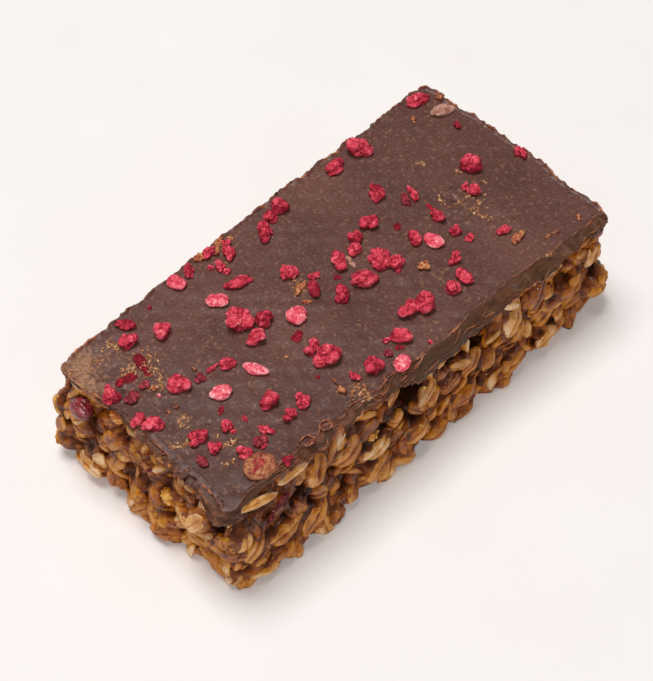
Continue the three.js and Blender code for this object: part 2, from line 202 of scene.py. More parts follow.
# Where cocoa butter and syrup have left the skin tan: pixel, radius, strength.
TOFFEE_SMEARS = [
    (74, 371, 3.8, 1.1), (90, 388, 2.8, 0.9), (88, 356, 2.8, 0.55), (140, 378, 4.5, 0.35),
    (460, 203, 3.2, 0.3), (306, 288, 2.2, 0.35), (216, 250, 3.2, 0.45), (185, 444, 2.4, 0.35),
    (356, 392, 3.0, 0.3), (118, 352, 2.4, 0.35), (182, 421, 1.8, 0.35),
]
# Shavings of chocolate: pixel, length and width as seen, turn.
CHIPS = [
    (341, 389, 2.0, 1.6, -50), (335, 381, 1.8, 0.6, -50), (352.5, 391.5, 0.8, 0.8, 0),
    (360, 388.5, 0.8, 0.8, 0), (365, 385.5, 1.0, 0.8, 0), (440, 96, 1.6, 1.4, -30),
    (557.5, 230.5, 1.2, 0.6, 25), (548, 236, 0.8, 1.2, -20), (579.5, 216, 1.2, 1.0, 30),
    (168, 412, 1.2, 0.6, -35), (176, 407, 1.0, 0.6, 20), (194, 369, 0.8, 1.2, 30),
    (413.5, 119, 0.8, 1.2, 0), (364, 393, 1.0, 0.8, 40), (286, 357, 1.0, 0.6, -40),
]
# Shreds of chocolate on the side: from and to distances round the bar, how many.
SHREDS = [(12, 48, 60), (48, 100, 12), (274, 298, 14), (256, 274, 6)]
# Loops of thin chocolate on the edge: pixel, length and width as seen, turn.
CURLS = [(306.5, 441, 3.3, 1.6, 25), (326, 425, 2.2, 1.8, 55), (389, 376, 2.4, 1.0, 35)]

# ---- Toppings ----
# Crumbs of raspberry by kind: pixel, length and width as seen, in millimetres, and turn in degrees.
CRUMBS = {
    "cluster": [
        (358.5, 145.5, 4.7, 3.5, 20), (471.5, 162, 4.3, 3.3, -10), (521, 152.5, 2.8, 1.8, -35),
        (412, 193, 3.5, 1.4, -48), (474, 190, 2.6, 2.2, 0), (465, 187, 1.4, 1.2, 0),
        (438, 215, 2.9, 1.8, -42), (455.5, 229.5, 2.4, 1.8, 0), (469.5, 236.5, 1.8, 1.6, 0),
        (414.8, 237, 2.6, 2.9, 0), (455, 258, 2.6, 2.2, 0), (356, 237, 2.6, 2.4, 30),
        (354.5, 249, 2.8, 2.4, 0), (338.7, 260, 3.1, 3.7, 0), (397.4, 262.5, 2.9, 2.9, 0),
        (364.5, 277, 5.3, 3.1, 18), (342.5, 294, 2.8, 3.5, 0), (407.3, 308, 3.7, 3.3, 0),
        (425, 302.5, 3.9, 4.1, -40), (453, 286.5, 2.9, 2.6, 20), (503.5, 230, 2.6, 1.4, 20),
        (280, 205, 3.5, 2.8, 0), (265, 231, 2.9, 3.9, 0), (263, 317.5, 3.7, 2.9, 0),
        (255.5, 335.5, 3.9, 2.8, 15), (311.5, 347, 3.3, 2.8, 10), (208.5, 252, 2.9, 1.8, 50),
        (226, 241.5, 1.8, 1.6, 0), (229, 252.5, 2.6, 2.8, 0), (220, 265, 2.0, 2.0, 30),
        (162, 331, 3.3, 3.3, 0), (374.2, 364.2, 3.9, 3.3, 0), (354.6, 376, 2.2, 1.8, -45),
        (289.7, 415, 2.6, 2.6, 0), (269.5, 398, 3.9, 3.5, 0), (227, 425.5, 2.2, 2.2, 0),
        (267, 429.2, 3.5, 1.6, -12), (244.5, 452.5, 3.3, 2.2, 10), (196.6, 436, 4.3, 2.6, 30),
        (111.3, 396.5, 3.3, 2.9, -15), (137.8, 418.8, 2.6, 2.9, 0), (127.5, 341, 3.7, 2.7, -10),
    ],
    "skin": [
        (418, 99.5, 4.7, 2.2, 20), (336, 166, 3.9, 2.4, 38), (376, 191.5, 3.9, 2.8, -60),
        (370, 222, 3.9, 2.9, 40), (464.5, 275.5, 2.8, 3.5, 20), (270, 216, 2.8, 2.4, 10),
        (289, 271.5, 3.9, 2.4, 8), (313.8, 275.5, 2.9, 1.2, 25), (188.7, 270.5, 2.0, 2.9, 0),
        (210.7, 266.5, 1.2, 1.0, 0), (227.3, 271, 1.6, 1.0, 30), (238, 281.5, 5.9, 2.2, 15),
        (125, 324, 4.1, 2.0, 8), (401, 335, 4.3, 2.9, 5), (387, 340.5, 1.8, 0.8, 15),
        (303.4, 400.3, 2.9, 2.9, 0), (179, 384, 4.5, 3.3, 0), (227, 363, 3.3, 2.4, 30),
        (212, 369, 2.8, 1.0, 28), (245.5, 419, 2.0, 0.8, -50), (233.5, 431, 1.8, 0.8, -25),
        (264, 446, 1.8, 0.8, 25), (214.4, 447, 2.9, 2.6, 0), (153, 424.5, 4.1, 2.8, 30),
        (107, 387, 1.6, 0.8, 40), (431, 342.5, 1.2, 0.6, -25), (262, 463, 2.6, 1.0, 40),
    ],
    "pale": [
        (434, 240, 4.3, 2.6, -22), (296, 315, 4.1, 3.7, 0), (176.9, 282, 3.9, 2.6, -20),
        (217, 300, 4.5, 2.6, 0), (402.4, 362, 3.5, 3.3, 0), (255.7, 369, 5.3, 2.2, -12),
        (220.5, 392, 4.5, 2.9, 10), (159, 396, 0.8, 0.6, 0),
    ],
    "dark": [
        (457, 125, 1.6, 1.4, 0), (314.5, 289.5, 2.4, 3.3, 10), (287, 460, 2.2, 1.8, 60),
        (150, 307, 0.8, 0.6, 0),
    ],
    "dusty": [
        (406, 199, 2.8, 2.0, -30), (388, 352.5, 2.0, 1.6, 0), (200.4, 378, 2.4, 2.0, 0),
        (260.5, 441, 2.9, 2.4, 0), (202, 461, 2.6, 2.2, 0), (131.3, 396.5, 3.1, 2.9, 0),
        (145, 385, 2.0, 1.8, 60),
    ],
    "stain": [
        (430, 207, 1.8, 0.8, -45), (397, 226.5, 1.6, 1.4, 0), (297, 336, 2.4, 2.4, 0),
        (399.5, 348, 1.6, 1.2, -20), (221, 410.5, 1.2, 1.8, 0), (141, 362, 3.6, 2.2, -60),
        (147, 372, 2.4, 1.3, -50), (130, 377, 3.4, 1.8, 30), (120, 382, 2.4, 1.5, 25),
        (337, 277, 1.6, 1.0, 10), (318, 377, 0.8, 0.8, 0),
    ],
    "tan": [(350.5, 261, 2.6, 1.0, -50), (441.9, 110, 4.3, 2.4, 30)],
    "golden": [
        (518, 237, 3.1, 2.0, 62), (423.5, 266.5, 2.4, 1.8, 20), (299.7, 288, 3.3, 1.6, 60),
        (198.5, 257, 2.2, 1.6, 20), (217, 249, 2.2, 1.4, 60), (219.5, 240.5, 2.0, 1.2, 50),
        (231, 237, 1.0, 0.8, 0), (154, 388, 1.8, 1.2, 30), (307, 302, 2.0, 0.8, 0),
    ],
}
RASPBERRY_TONES = ("#861428", "#C23245", "#E45264", "#F47E88", "#FFBCBC")
# Lobes, how far these spread, height as a share of the width, grain of the surface in millimetres, tone and
# its colours, from dark to pale.
CRUMB_LOOKS = {
    "cluster": (6, 1.0, 0.72, 0.1, 0.42, RASPBERRY_TONES),
    "skin": (4, 0.75, 0.55, 0.09, 0.42, RASPBERRY_TONES),
    "pale": (4, 0.5, 0.42, 0.05, 0.92, RASPBERRY_TONES),
    "dark": (5, 1.0, 0.60, 0.06, 0.05, RASPBERRY_TONES),
    "dusty": (4, 1.0, 0.40, 0.06, 0.30, ("#6A1C26", "#94303A", "#B04850", "#C06A6A", "#D09890")),
    "stain": (3, 1.0, 0.10, 0.02, 0.10, ("#6A0A16", "#98142A", "#B81E38", "#C83A4C", "#D66270")),
    "tan": (3, 0.7, 0.35, 0.05, 0.50, ("#8A5A48", "#B07E6C", "#C69888", "#D3AB9C", "#DFC0B2")),
    "golden": (5, 1.2, 0.45, 0.08, 0.50, ("#7E2A22", "#A05238", "#B8764C", "#CC9868", "#E0B890")),
}
CORE_TONES = ("#6E362A", "#9E5A40", "#BA7852", "#CE966A", "#E2BE90")
FLESH_TONES = ("#84262C", "#AA423E", "#BE564C", "#CC705A", "#DA9470")
SOAKED_TONES = ("#420E12", "#662022", "#823432", "#9C4C42", "#B46A58")
CARAMEL_TONES = ("#7A4A30", "#A06A44", "#C08A60", "#D6A67C", "#E8C8A0")
COCOA_TONES = ("#5E3A30", "#7C564A", "#94705F", "#B08A74", "#CBA78C")
# Golden flecks: pixel of each patch's middle, its half length and half width as seen, turn, count.
FLECK_PATCHES = [
    (74, 371, 2.6, 1.8, 30, 30), (146, 362, 2.8, 2.4, -30, 70), (130, 372, 2.4, 1.0, 35, 40),
    (160, 380, 0.6, 2.4, 10, 26), (100, 360, 1.8, 1.8, 0, 16), (113, 345, 1.6, 0.8, 10, 26),
    (182, 421, 1.2, 1.0, 0, 24), (181, 445, 1.8, 0.6, 5, 26), (228, 443, 1.6, 0.8, 20, 18),
    (216, 436, 0.4, 0.4, 0, 5), (228, 463, 1.6, 0.4, 20, 12), (360, 391, 1.6, 1.4, 0, 26),
    (299.7, 288, 1.4, 1.2, 60, 16), (484, 184, 0.8, 0.8, -50, 6), (457, 173, 0.8, 0.6, -30, 5),
    (548, 255, 1.4, 0.3, 30, 10), (414, 119, 0.4, 1.0, 10, 7), (422, 164, 1.2, 0.4, -20, 8),
    (548, 237, 0.4, 1.2, -20, 8), (557, 231, 0.6, 0.3, 20, 5), (216, 247, 2.4, 1.0, 45, 28),
    (475, 205, 2.8, 1.6, 0, 6), (340, 392, 0.6, 0.6, 0, 5), (372, 398, 1.0, 1.6, -40, 14),
]
FLECK_SHARE = 1.5  # of these counts
# A thin broken line of golden flecks where a piece has come away: the pixels that it runs through.
FLECK_LINE = [
    (442, 192), (439, 198), (443, 204), (450, 206), (457, 204), (463, 199), (467, 196.5), (475, 198.5),
    (480, 204), (475, 208), (470, 211), (478, 215.5), (484, 217), (491, 217.5), (488, 222),
]
LINE_FLECKS, DUST_SPECKS, DUST_TRIES = 80, 420, 2600
TOP_PIXELS = ((60, 85), (610, 510))  # corners of the frame's part that the top lies in
BERRY_SHARE = np.array([1.0, 0.66, 0.82])  # of its node's box
BERRY_SHIFT = np.array([0.3, 0.2, 0.8])  # from the middle of its node's box
STREAK = (258, 468, 3.7, 2.1, 45)  # red flesh on the half raspberry: pixel, length and width, turn


# ---- Arrays: noise, grids and turns ----
def ripples(points, size, seed):
    """A smooth random field of unit spread: sine waves in random directions, added up, with wavelengths
    of 0.7 to 1.6 times the size."""
    rng = np.random.default_rng(seed)
    points = np.asarray(points, float)
    ways = normalised(rng.normal(size=(WAVES, points.shape[-1])))
    ways *= TURN / (size * rng.uniform(0.7, 1.6, (WAVES, 1)))
    return np.sin(points @ ways.T + rng.uniform(0, TURN, WAVES)).sum(-1) * math.sqrt(2 / WAVES)


def smooth_step(low, high, value):
    """Rises from 0 at low to 1 at high, level at both ends."""
    share = np.clip((value - low) / (high - low), 0, 1)
    return share * share * (3 - 2 * share)


def hill(value, middle, width):
    """A bell curve: 1 in its middle, fading out over a width."""
    return np.exp(-(((value - middle) / width) ** 2))


def normalised(vectors):
    """Vectors of length 1."""
    return vectors / np.maximum(np.linalg.norm(vectors, axis=-1, keepdims=True), 1e-9)


def turned(vectors, axes, angles):
    """Rodrigues' turn of each vector about its own unit axis."""
    cosine, sine = np.cos(angles)[..., None], np.sin(angles)[..., None]
    along = (vectors * axes).sum(-1, keepdims=True)
    return vectors * cosine + np.cross(axes, vectors) * sine + axes * along * (1 - cosine)


def round_steps(count):
    """Even angles, all the way round."""
    return np.linspace(0, TURN, count, endpoint=False)


def grid_faces(rows, columns, closed):
    """Four-cornered faces of a grid of points, row after row; closed joins the last column to the first."""
    row = np.arange(rows - 1)[:, None]
    column = np.arange(columns if closed else columns - 1)[None]
    after = (column + 1) % columns
    near, far = row * columns, (row + 1) * columns
    corners = np.broadcast_arrays(near + column, near + after, far + after, far + column)
    return np.stack(corners, -1).reshape(-1, 4)


def repeated(faces, points_each, count):
    """Faces of one body, for as many bodies as there are."""
    return (faces[None] + (np.arange(count) * points_each)[:, None, None]).reshape(-1, faces.shape[1])


def ball_faces(rings, around, count=1):
    """Faces of closed bodies whose points are a lowest pole, rings going up, and a highest pole."""
    column = np.arange(around)
    after = (column + 1) % around
    last = rings * around + 1
    first_fan = np.stack([0 * column, after + 1, column + 1], -1)
    last_fan = np.stack([0 * column + last, last - around + column, last - around + after], -1)
    groups = (grid_faces(rings, around, True) + 1, np.concatenate([first_fan, last_fan]))
    return [repeated(faces, last + 1, count) for faces in groups]


def ball_directions(rings, around):
    """Unit directions: the lowest, rings of directions going up, and the highest."""
    tilt = np.linspace(-math.pi / 2, math.pi / 2, rings + 2)[1:-1, None]
    turn = round_steps(around)[None]
    parts = np.broadcast_arrays(np.cos(tilt) * np.cos(turn), np.cos(tilt) * np.sin(turn), np.sin(tilt))
    return np.concatenate([[[0, 0, -1]], np.stack(parts, -1).reshape(-1, 3), [[0, 0, 1]]])


def with_neighbours(values):
    """The values of each cell's neighbours round the bar, and of those under and over it."""
    padded = np.pad(values, [(0, 0), (1, 1)], mode="edge")
    return np.roll(values, 1, 0), np.roll(values, -1, 0), padded[:, :-2], padded[:, 2:]


def blurred(values, times):
    """Each cell becomes a mix of itself and its neighbours, first round the bar and then up and down."""
    for _ in range(times):
        before, after, *_ = with_neighbours(values)
        values = (before + 2 * values + after) / 4
        *_, under, over = with_neighbours(values)
        values = (under + 2 * values + over) / 4
    return values


def filled(values):
    """Empty cells take the largest of their neighbours, until all are full."""
    while (values == EMPTY).any():
        values = np.where(values == EMPTY, np.max(with_neighbours(values), 0), values)
    return values


def spaced_out(points, gap, most, seed, taken):
    """Indices of randomly chosen points that keep a gap from each other and from those taken."""
    chosen = []
    for i in np.random.default_rng(seed).permutation(len(points)):
        if np.min(((taken - points[i]) ** 2).sum(1)) > gap * gap:
            chosen.append(i)
            taken = np.concatenate([taken, points[i : i + 1]])
            if len(chosen) == most:
                break
    return np.array(chosen)


# ---- Pieces ----
def add_object(name, data, matrix):
    """Puts an object in the scene, placed by a matrix."""
    made = bpy.data.objects.new(name, data)
    made.matrix_world = matrix
    bpy.context.scene.collection.objects.link(made)
    return made


def add_piece(name, points, faces, material, replaces=(), tags=None, flat_places=None):
    """A mesh from points in millimetres and lists of faces, with numbers for the material at each point."""
    mesh = bpy.data.meshes.new(name)
    corners = [tuple(face) for group in faces for face in group.tolist()]
    mesh.from_pydata((points.reshape(-1, 3) * MM).tolist(), [], corners)
    mesh.polygons.foreach_set("use_smooth", np.ones(len(mesh.polygons), bool))
    for tag, values in (tags or {}).items():
        numbers = np.broadcast_to(values, points.shape[:-1]).astype(np.float32).ravel()
        mesh.attributes.new(tag, "FLOAT", "POINT").data.foreach_set("value", numbers)
    if flat_places is not None:
        of_corner = np.zeros(len(mesh.loops), np.int32)
        mesh.loops.foreach_get("vertex_index", of_corner)
        places = flat_places.astype(np.float32).reshape(-1, 2)[of_corner]
        mesh.uv_layers.new(name="UVMap").data.foreach_set("uv", places.ravel())
    mesh.materials.append(material)
    mesh.update()
    piece = add_object(name, mesh, Matrix())
    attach(piece, "root")
    if replaces:
        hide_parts(*replaces)


# ---- Places: round the outline, on the frame's nodes, and through pixels ----
def outline_place(s, reach):
    """Distance s round the sharp-cornered rectangle, from its -X, -Y corner, and a reach outwards, turned
    into x and y on the rounded, widening outline. Also gives the outward direction."""
    a, b = HALF_LENGTH, HALF_WIDTH
    s = np.mod(s, OUTLINE_LENGTH)
    side = np.searchsorted(SIDE_STARTS[1:], s, side="right")
    t = s - SIDE_STARTS[side]
    sharp = np.stack([np.choose(side, [t - a, a, a - t, -a]), np.choose(side, [-b, t - b, b, b - t])], -1)
    inner = np.clip(sharp, [CORNER - a, CORNER - b], [a - CORNER, b - CORNER])
    way = normalised(sharp - inner)
    out = CORNER + np.asarray(reach)[..., None]
    in_corner = np.abs(way).min(-1, keepdims=True) > 1e-6
    place = inner + way * np.where(in_corner, np.maximum(out, 0.05), out)
    place[..., 1] *= 1 + WIDENING * place[..., 0]
    return place, way


def rolled(flat):
    """Unrolled points, each a distance round the bar, a height and a reach, as points in space."""
    return np.concatenate([outline_place(flat[..., 0], flat[..., 2])[0], flat[..., 1:2]], -1)


def distance_on(side, x, y):
    """Distance round the bar of places on its sides, these counted from 0 for the front."""
    along = [x + HALF_LENGTH, y + HALF_WIDTH, HALF_LENGTH - x, HALF_WIDTH - y]
    return SIDE_STARTS[side] + np.choose(side, along)


def narrowed(points):
    """x and y on the outline before it widens."""
    x, y = points[..., 0], points[..., 1]
    return np.stack([x, y / (1 + WIDENING * x)], -1)


def outline_distance(points):
    """The reverse of outline_place: the distance s round the rectangle and the reach outwards."""
    flat = narrowed(points)
    limit = np.array([HALF_LENGTH, HALF_WIDTH]) - CORNER
    inner = np.clip(flat, -limit, limit)
    way = flat - inner
    size = np.abs(way)
    span = np.linalg.norm(way, axis=-1)
    sharp = inner + way * (CORNER / np.maximum(size.max(-1, keepdims=True), 1e-9))
    side = np.where(size[..., 1] >= size[..., 0], 2 * (way[..., 1] >= 0), 3 - 2 * (way[..., 0] > 0))
    return distance_on(side, sharp[..., 0], sharp[..., 1]), np.where(span > 1e-6, span - CORNER, EMPTY)


def side_distance(points, side):
    """Distance round the bar and reach of points that belong to a side, however far inside it they lie."""
    x, y = narrowed(points).T
    side = SIDES.index(side)
    reaches = (-y - HALF_WIDTH, x - HALF_LENGTH, y - HALF_WIDTH, -x - HALF_LENGTH)
    return distance_on(side, x, y), reaches[side]


def unrolled(points):
    """The reverse of rolled."""
    s, reach = outline_distance(points)
    return np.stack([s, points[..., 2], reach], -1)


def frame_samples(node, seed):
    """Random points all over a node of the frame, in millimetres."""
    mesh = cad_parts[node].data
    mesh.calc_loop_triangles()
    corners = np.zeros(len(mesh.loop_triangles) * 3, np.int32)
    mesh.loop_triangles.foreach_get("vertices", corners)
    places = np.zeros(len(mesh.vertices) * 3, np.float32)
    mesh.vertices.foreach_get("co", places)
    a, b, c = places.reshape(-1, 3)[corners.reshape(-1, 3).T] / MM
    areas = np.linalg.norm(np.cross(b - a, c - a), axis=1)
    rng = np.random.default_rng(seed)
    face = rng.choice(len(areas), SAMPLES, p=areas / areas.sum())
    u, v = rng.random((2, SAMPLES, 1))
    flip = u + v > 1
    u, v = np.where(flip, 1 - u, u), np.where(flip, 1 - v, v)
    return a[face] + (b - a)[face] * u + (c - a)[face] * v


def column_of(s, around):
    """The column of a map that a distance round the bar falls in."""
    return np.floor(s / OUTLINE_LENGTH * around).astype(int) % around


def middles(count, step=None):
    """The middles of even cells, all the way round the bar unless their size is given."""
    return (np.arange(count) + 0.5) * (step or OUTLINE_LENGTH / count)


def reach_map(flat, levels, step):
    """How far unrolled points stand out of the outline, by cells of distance round the bar and height."""
    values = np.full((round(OUTLINE_LENGTH / step), levels), EMPTY)
    level = np.clip(np.floor(flat[..., 1] / step).astype(int), 0, levels - 1)
    np.maximum.at(values, (column_of(flat[..., 0], len(values)), level), flat[..., 2])
    return values


def map_value(values, s, z, step):
    """Bilinear reading of a map at a distance round the bar and a height."""
    around, levels = values.shape
    u = np.mod(s / OUTLINE_LENGTH * around - 0.5, around)
    v = np.clip(z / step - 0.5, 0, levels - 1.001)
    i, j = np.floor(u).astype(int), np.floor(v).astype(int)
    fu, fv = u - i, v - j
    i, k = i % around, (i + 1) % around
    low, high = (values[i, n] * (1 - fu) + values[k, n] * fu for n in (j, j + 1))
    return low * (1 - fv) + high * fv


def by_distance(values, s):
    """Reads a row of values that runs round the bar."""
    return np.interp(s, middles(len(values)), values, period=OUTLINE_LENGTH)


def camera_axes():
    """Unit directions right, up and back, from the camera."""
    sine, cosine = math.sin(CAMERA_ELEVATION), math.cos(CAMERA_ELEVATION)
    back = np.array([math.sin(CAMERA_AZIMUTH) * cosine, -math.cos(CAMERA_AZIMUTH) * cosine, sine])
    right = normalised(np.cross(-back, [0, 0, 1]))
    return right, np.cross(right, -back), back


def through_pixels(pixels, axis, place):
    """Where the sight lines through pixels of the frame meet the plane that has x, y or z at a place."""
    right, up, back = camera_axes()
    pixels = np.atleast_2d(np.asarray(pixels, float))
    across, down = ((pixels - np.array(FRAME_PIXELS) / 2) / (LENS / SENSOR * FRAME_PIXELS[1])).T[..., None]
    ways = -back + right * across - up * down
    return CAMERA_PLACE + ways * ((place - CAMERA_PLACE[axis]) / ways[:, axis : axis + 1])


def side_places(pixels, side, reach_at):
    """The points that pixels show of a surface on the front or the left side, whose reach is a function of
    distance round the bar and height. Also gives the points' distances round the bar."""
    axis, plane, first, last = {
        "front": (1, -HALF_WIDTH, 0, SIDE_STARTS[1]),
        "left": (0, -HALF_LENGTH, LEFT_END, OUTLINE_LENGTH),
    }[side]
    for _ in range(SIGHT_STEPS):
        places = through_pixels(pixels, axis, plane)
        s = np.clip(side_distance(places, side)[0], first, last - 0.01)
        plane = (plane + outline_place(s, reach_at(s, places[:, 2]))[0][:, axis : axis + 1]) / 2
    return places, s


def swollen(around, levels):
    """The named bulges as a map: smooth hills that fade out over their half sizes."""
    s, z = middles(around, MAP_STEP)[:, None], middles(levels, MAP_STEP)
    total = 0
    for distance, height, half_length, half_height, amount in SWELLS:
        off = np.abs(s - distance)
        near = hill(np.minimum(off, OUTLINE_LENGTH - off), 0, half_length) * hill(z, height, half_height)
        total = total + amount * near
    return total


def oat_reach(s, z):
    """How far the oats stand out of the outline."""
    return map_value(OAT_REACH, s, z, MAP_STEP)


def seen_on_sides(rows):
    """The points of the oats, unrolled, that rows starting with a pixel and a side show."""
    return np.stack([unrolled(side_places((x, y), side, oat_reach)[0])[0] for x, y, side, *_ in rows])


# ---- Materials ----
def linear(code):
    """An sRGB hex colour as the linear values that shaders work with."""
    shares = [int(code[i : i + 2], 16) / 255 for i in (1, 3, 5)]
    return tuple(s / 12.92 if s <= 0.04045 else ((s + 0.055) / 1.055) ** 2.4 for s in shares) + (1.0,)


def add_node(tree, kind, inputs=(), stops=None, **settings):
    """Adds a shader node and gives its outputs. Inputs, listed or by name, are values, sRGB hex colours, or
    other nodes' outputs to link; stops fill a ramp."""
    node = tree.nodes.new("ShaderNode" + kind)
    for setting, value in settings.items():
        setattr(node, setting, value)
    for socket, value in inputs.items() if isinstance(inputs, dict) else enumerate(inputs):
        if isinstance(value, bpy.types.NodeSocket):
            tree.links.new(value, node.inputs[socket])
        else:
            node.inputs[socket].default_value = linear(value) if isinstance(value, str) else value
    if stops:
        elements = node.color_ramp.elements
        while len(elements) < len(stops):
            elements.new(0.5)
        for element, (element.position, colour) in zip(elements, stops):
            element.color = linear(colour)
    return node.outputs


def new_material(name):
    """A material without nodes, and the function that adds nodes to it."""
    material = bpy.data.materials.new(name)
    material.use_nodes = True
    material.node_tree.nodes.clear()
    return material, partial(add_node, material.node_tree)


def per_metre(size):
    """A noise or cell texture's scale, on coordinates in metres, for features of a size in millimetres."""
    return 1 / (size * MM)


def chained(add, kind, place, value, rows, **settings):
    """Adds nodes of one kind in a row: each takes the last one's output at a place among its inputs, and
    the others from its own row. So weighted terms add up, and colours lie over each other by shares."""
    for row in rows:
        value = add(kind, (*row[:place], value, *row[place:]), **settings)[0]
    return value


def specks(add, place, spacing, rarest, smallest, largest, edge, strength):
    """Round specks with soft edges: in each cell of a size a number is drawn, and from the rarest up it
    sets the speck's radius, in shares of the cell."""
    cells = add("TexVoronoi", {"Vector": place, "Scale": per_metre(spacing)})
    drawn = add("SeparateXYZ", [cells["Color"]])[0]
    radius = add("MapRange", (drawn, rarest, 1.0, smallest, largest))[0]
    inside = add("Math", (radius, cells["Distance"]), operation="SUBTRACT")[0]
    return add("MapRange", (inside, 0.0, edge, 0.0, strength))[0]


def glazed_oats(name, fibre, stops):
    """Rolled oats, steamed, pressed flat and baked in syrup: pale along the fibres, pale at the thin rim
    with a painted highlight along it too, with a darker crease down the middle, amber where the glaze is
    thicker, darker with depth into the crevices down to nearly black, which is painted shade over the
    darker pooled syrup, and wet-looking, with pale specks on the humps that are sugar grains and painted
    glints. In the upper part a mauve-brown film of thin chocolate lies over them. The syrup alone is this
    without fibres."""
    material, add = new_material(name)
    place = add("TexCoord")["Object"]
    tone, depth = (add("Attribute", attribute_name=tag)["Fac"] for tag in ("tone", "depth"))
    fine, mottle, smears, beads = (
        add("TexNoise", {"Vector": place, "Scale": per_metre(size), "Detail": detail})[0]
        for size, detail in ((0.7, 4.0), (3.2, 4.0), (4.0, 5.0), (0.5, 1.0))
    )
    # Deeper points are darker: painted shade in the crevices, along with the darker pooled syrup.
    terms = [(tone, 1.0), (mottle, 1.1), (depth, -0.85), (fine, 0.22)]
    level = chained(add, "Math", 2, -0.65, terms, operation="MULTIPLY_ADD")
    relief = fine
    if fibre:
        across, rim = (add("Attribute", attribute_name=tag)["Fac"] for tag in ("across", "rim"))
        along = add("Mapping", {"Vector": add("UVMap", uv_map="UVMap")[0], "Scale": (0.3, 2.0, 1.0)})[0]
        fibres = add("TexNoise", {"Vector": along, "Scale": 1.0, "Detail": 3.0})[0]
        bent = add("Math", (fibres, 1.0, -0.5), operation="MULTIPLY_ADD")[0]
        wavy = add("Math", (bent, 0.5, across), operation="MULTIPLY_ADD")[0]
        off_crease = add("Math", [wavy], operation="ABSOLUTE")[0]
        crease = add("MapRange", (off_crease, 0.02, 0.16, 1.0, 0.0))[0]
        # The thin rim is paler: partly its own colour, partly a painted highlight along the edge.
        pale_rim_and_highlight = add("MapRange", (rim, 0.75, 1.0, 0.0, 0.2))[0]
        terms = [(bent, fibre), (crease, -0.22), (pale_rim_and_highlight, 1.0)]
        level = chained(add, "Math", 2, level, terms, operation="MULTIPLY_ADD")
        terms = [(fibres, 0.5 * fibre), (crease, -0.4)]
        relief = chained(add, "Math", 2, fine, terms, operation="MULTIPLY_ADD")
    height = add("SeparateXYZ", [place])["Z"]
    streaks = add("Math", (height, 0.006 / MM, smears), operation="MULTIPLY_ADD")[0]
    film = add("MapRange", (streaks, 0.6, 0.72, 0.0, 0.4))[0]
    dry = add("MapRange", (depth, 0.1, 0.5, 1.0, 0.0))[0]
    # Pale specks on the humps: sugar grains, and painted glints as well.
    grains = specks(add, place, 1.0, 0.55, -0.02, 0.2, 0.08, 0.6)
    sugar = add("Math", (grains, dry), operation="MULTIPLY")[0]
    colour = add("ValToRGB", [level], stops)[0]
    colour = chained(add, "MixRGB", 1, colour, [(film, "#74402C"), (sugar, "#E6CFAE")])
    normal = add("Bump", {"Height": relief, "Strength": 0.6, "Distance": 0.4 * MM})[0]
    glints = add("Bump", {"Height": beads, "Strength": 0.7, "Distance": 0.2 * MM, "Normal": normal})[0]
    rough = add("MapRange", (mottle, 0.35, 0.65, 0.3, 0.5))[0]
    on_humps = add("MapRange", (depth, 0.0, 0.55, 0.95, 0.0))[0]
    face_on = add("MapRange", (add("LayerWeight", {"Blend": 0.5})["Facing"], 0.35, 0.8, 1.0, 0.0))[0]
    wet = add("Math", (on_humps, face_on), operation="MULTIPLY")[0]
    add("OutputMaterial", [add("BsdfPrincipled", {
        "Base Color": colour, "Roughness": rough, "Normal": normal, "IOR": 1.47,
        "Specular IOR Level": 0.08, "Specular Tint": "#FFC890",
        "Coat Weight": wet, "Coat Roughness": 0.08, "Coat Normal": glints,
        "Subsurface Weight": 0.08, "Subsurface Radius": (1.0, 0.6, 0.3), "Subsurface Scale": 0.4 * MM,
    })[0]])
    return material


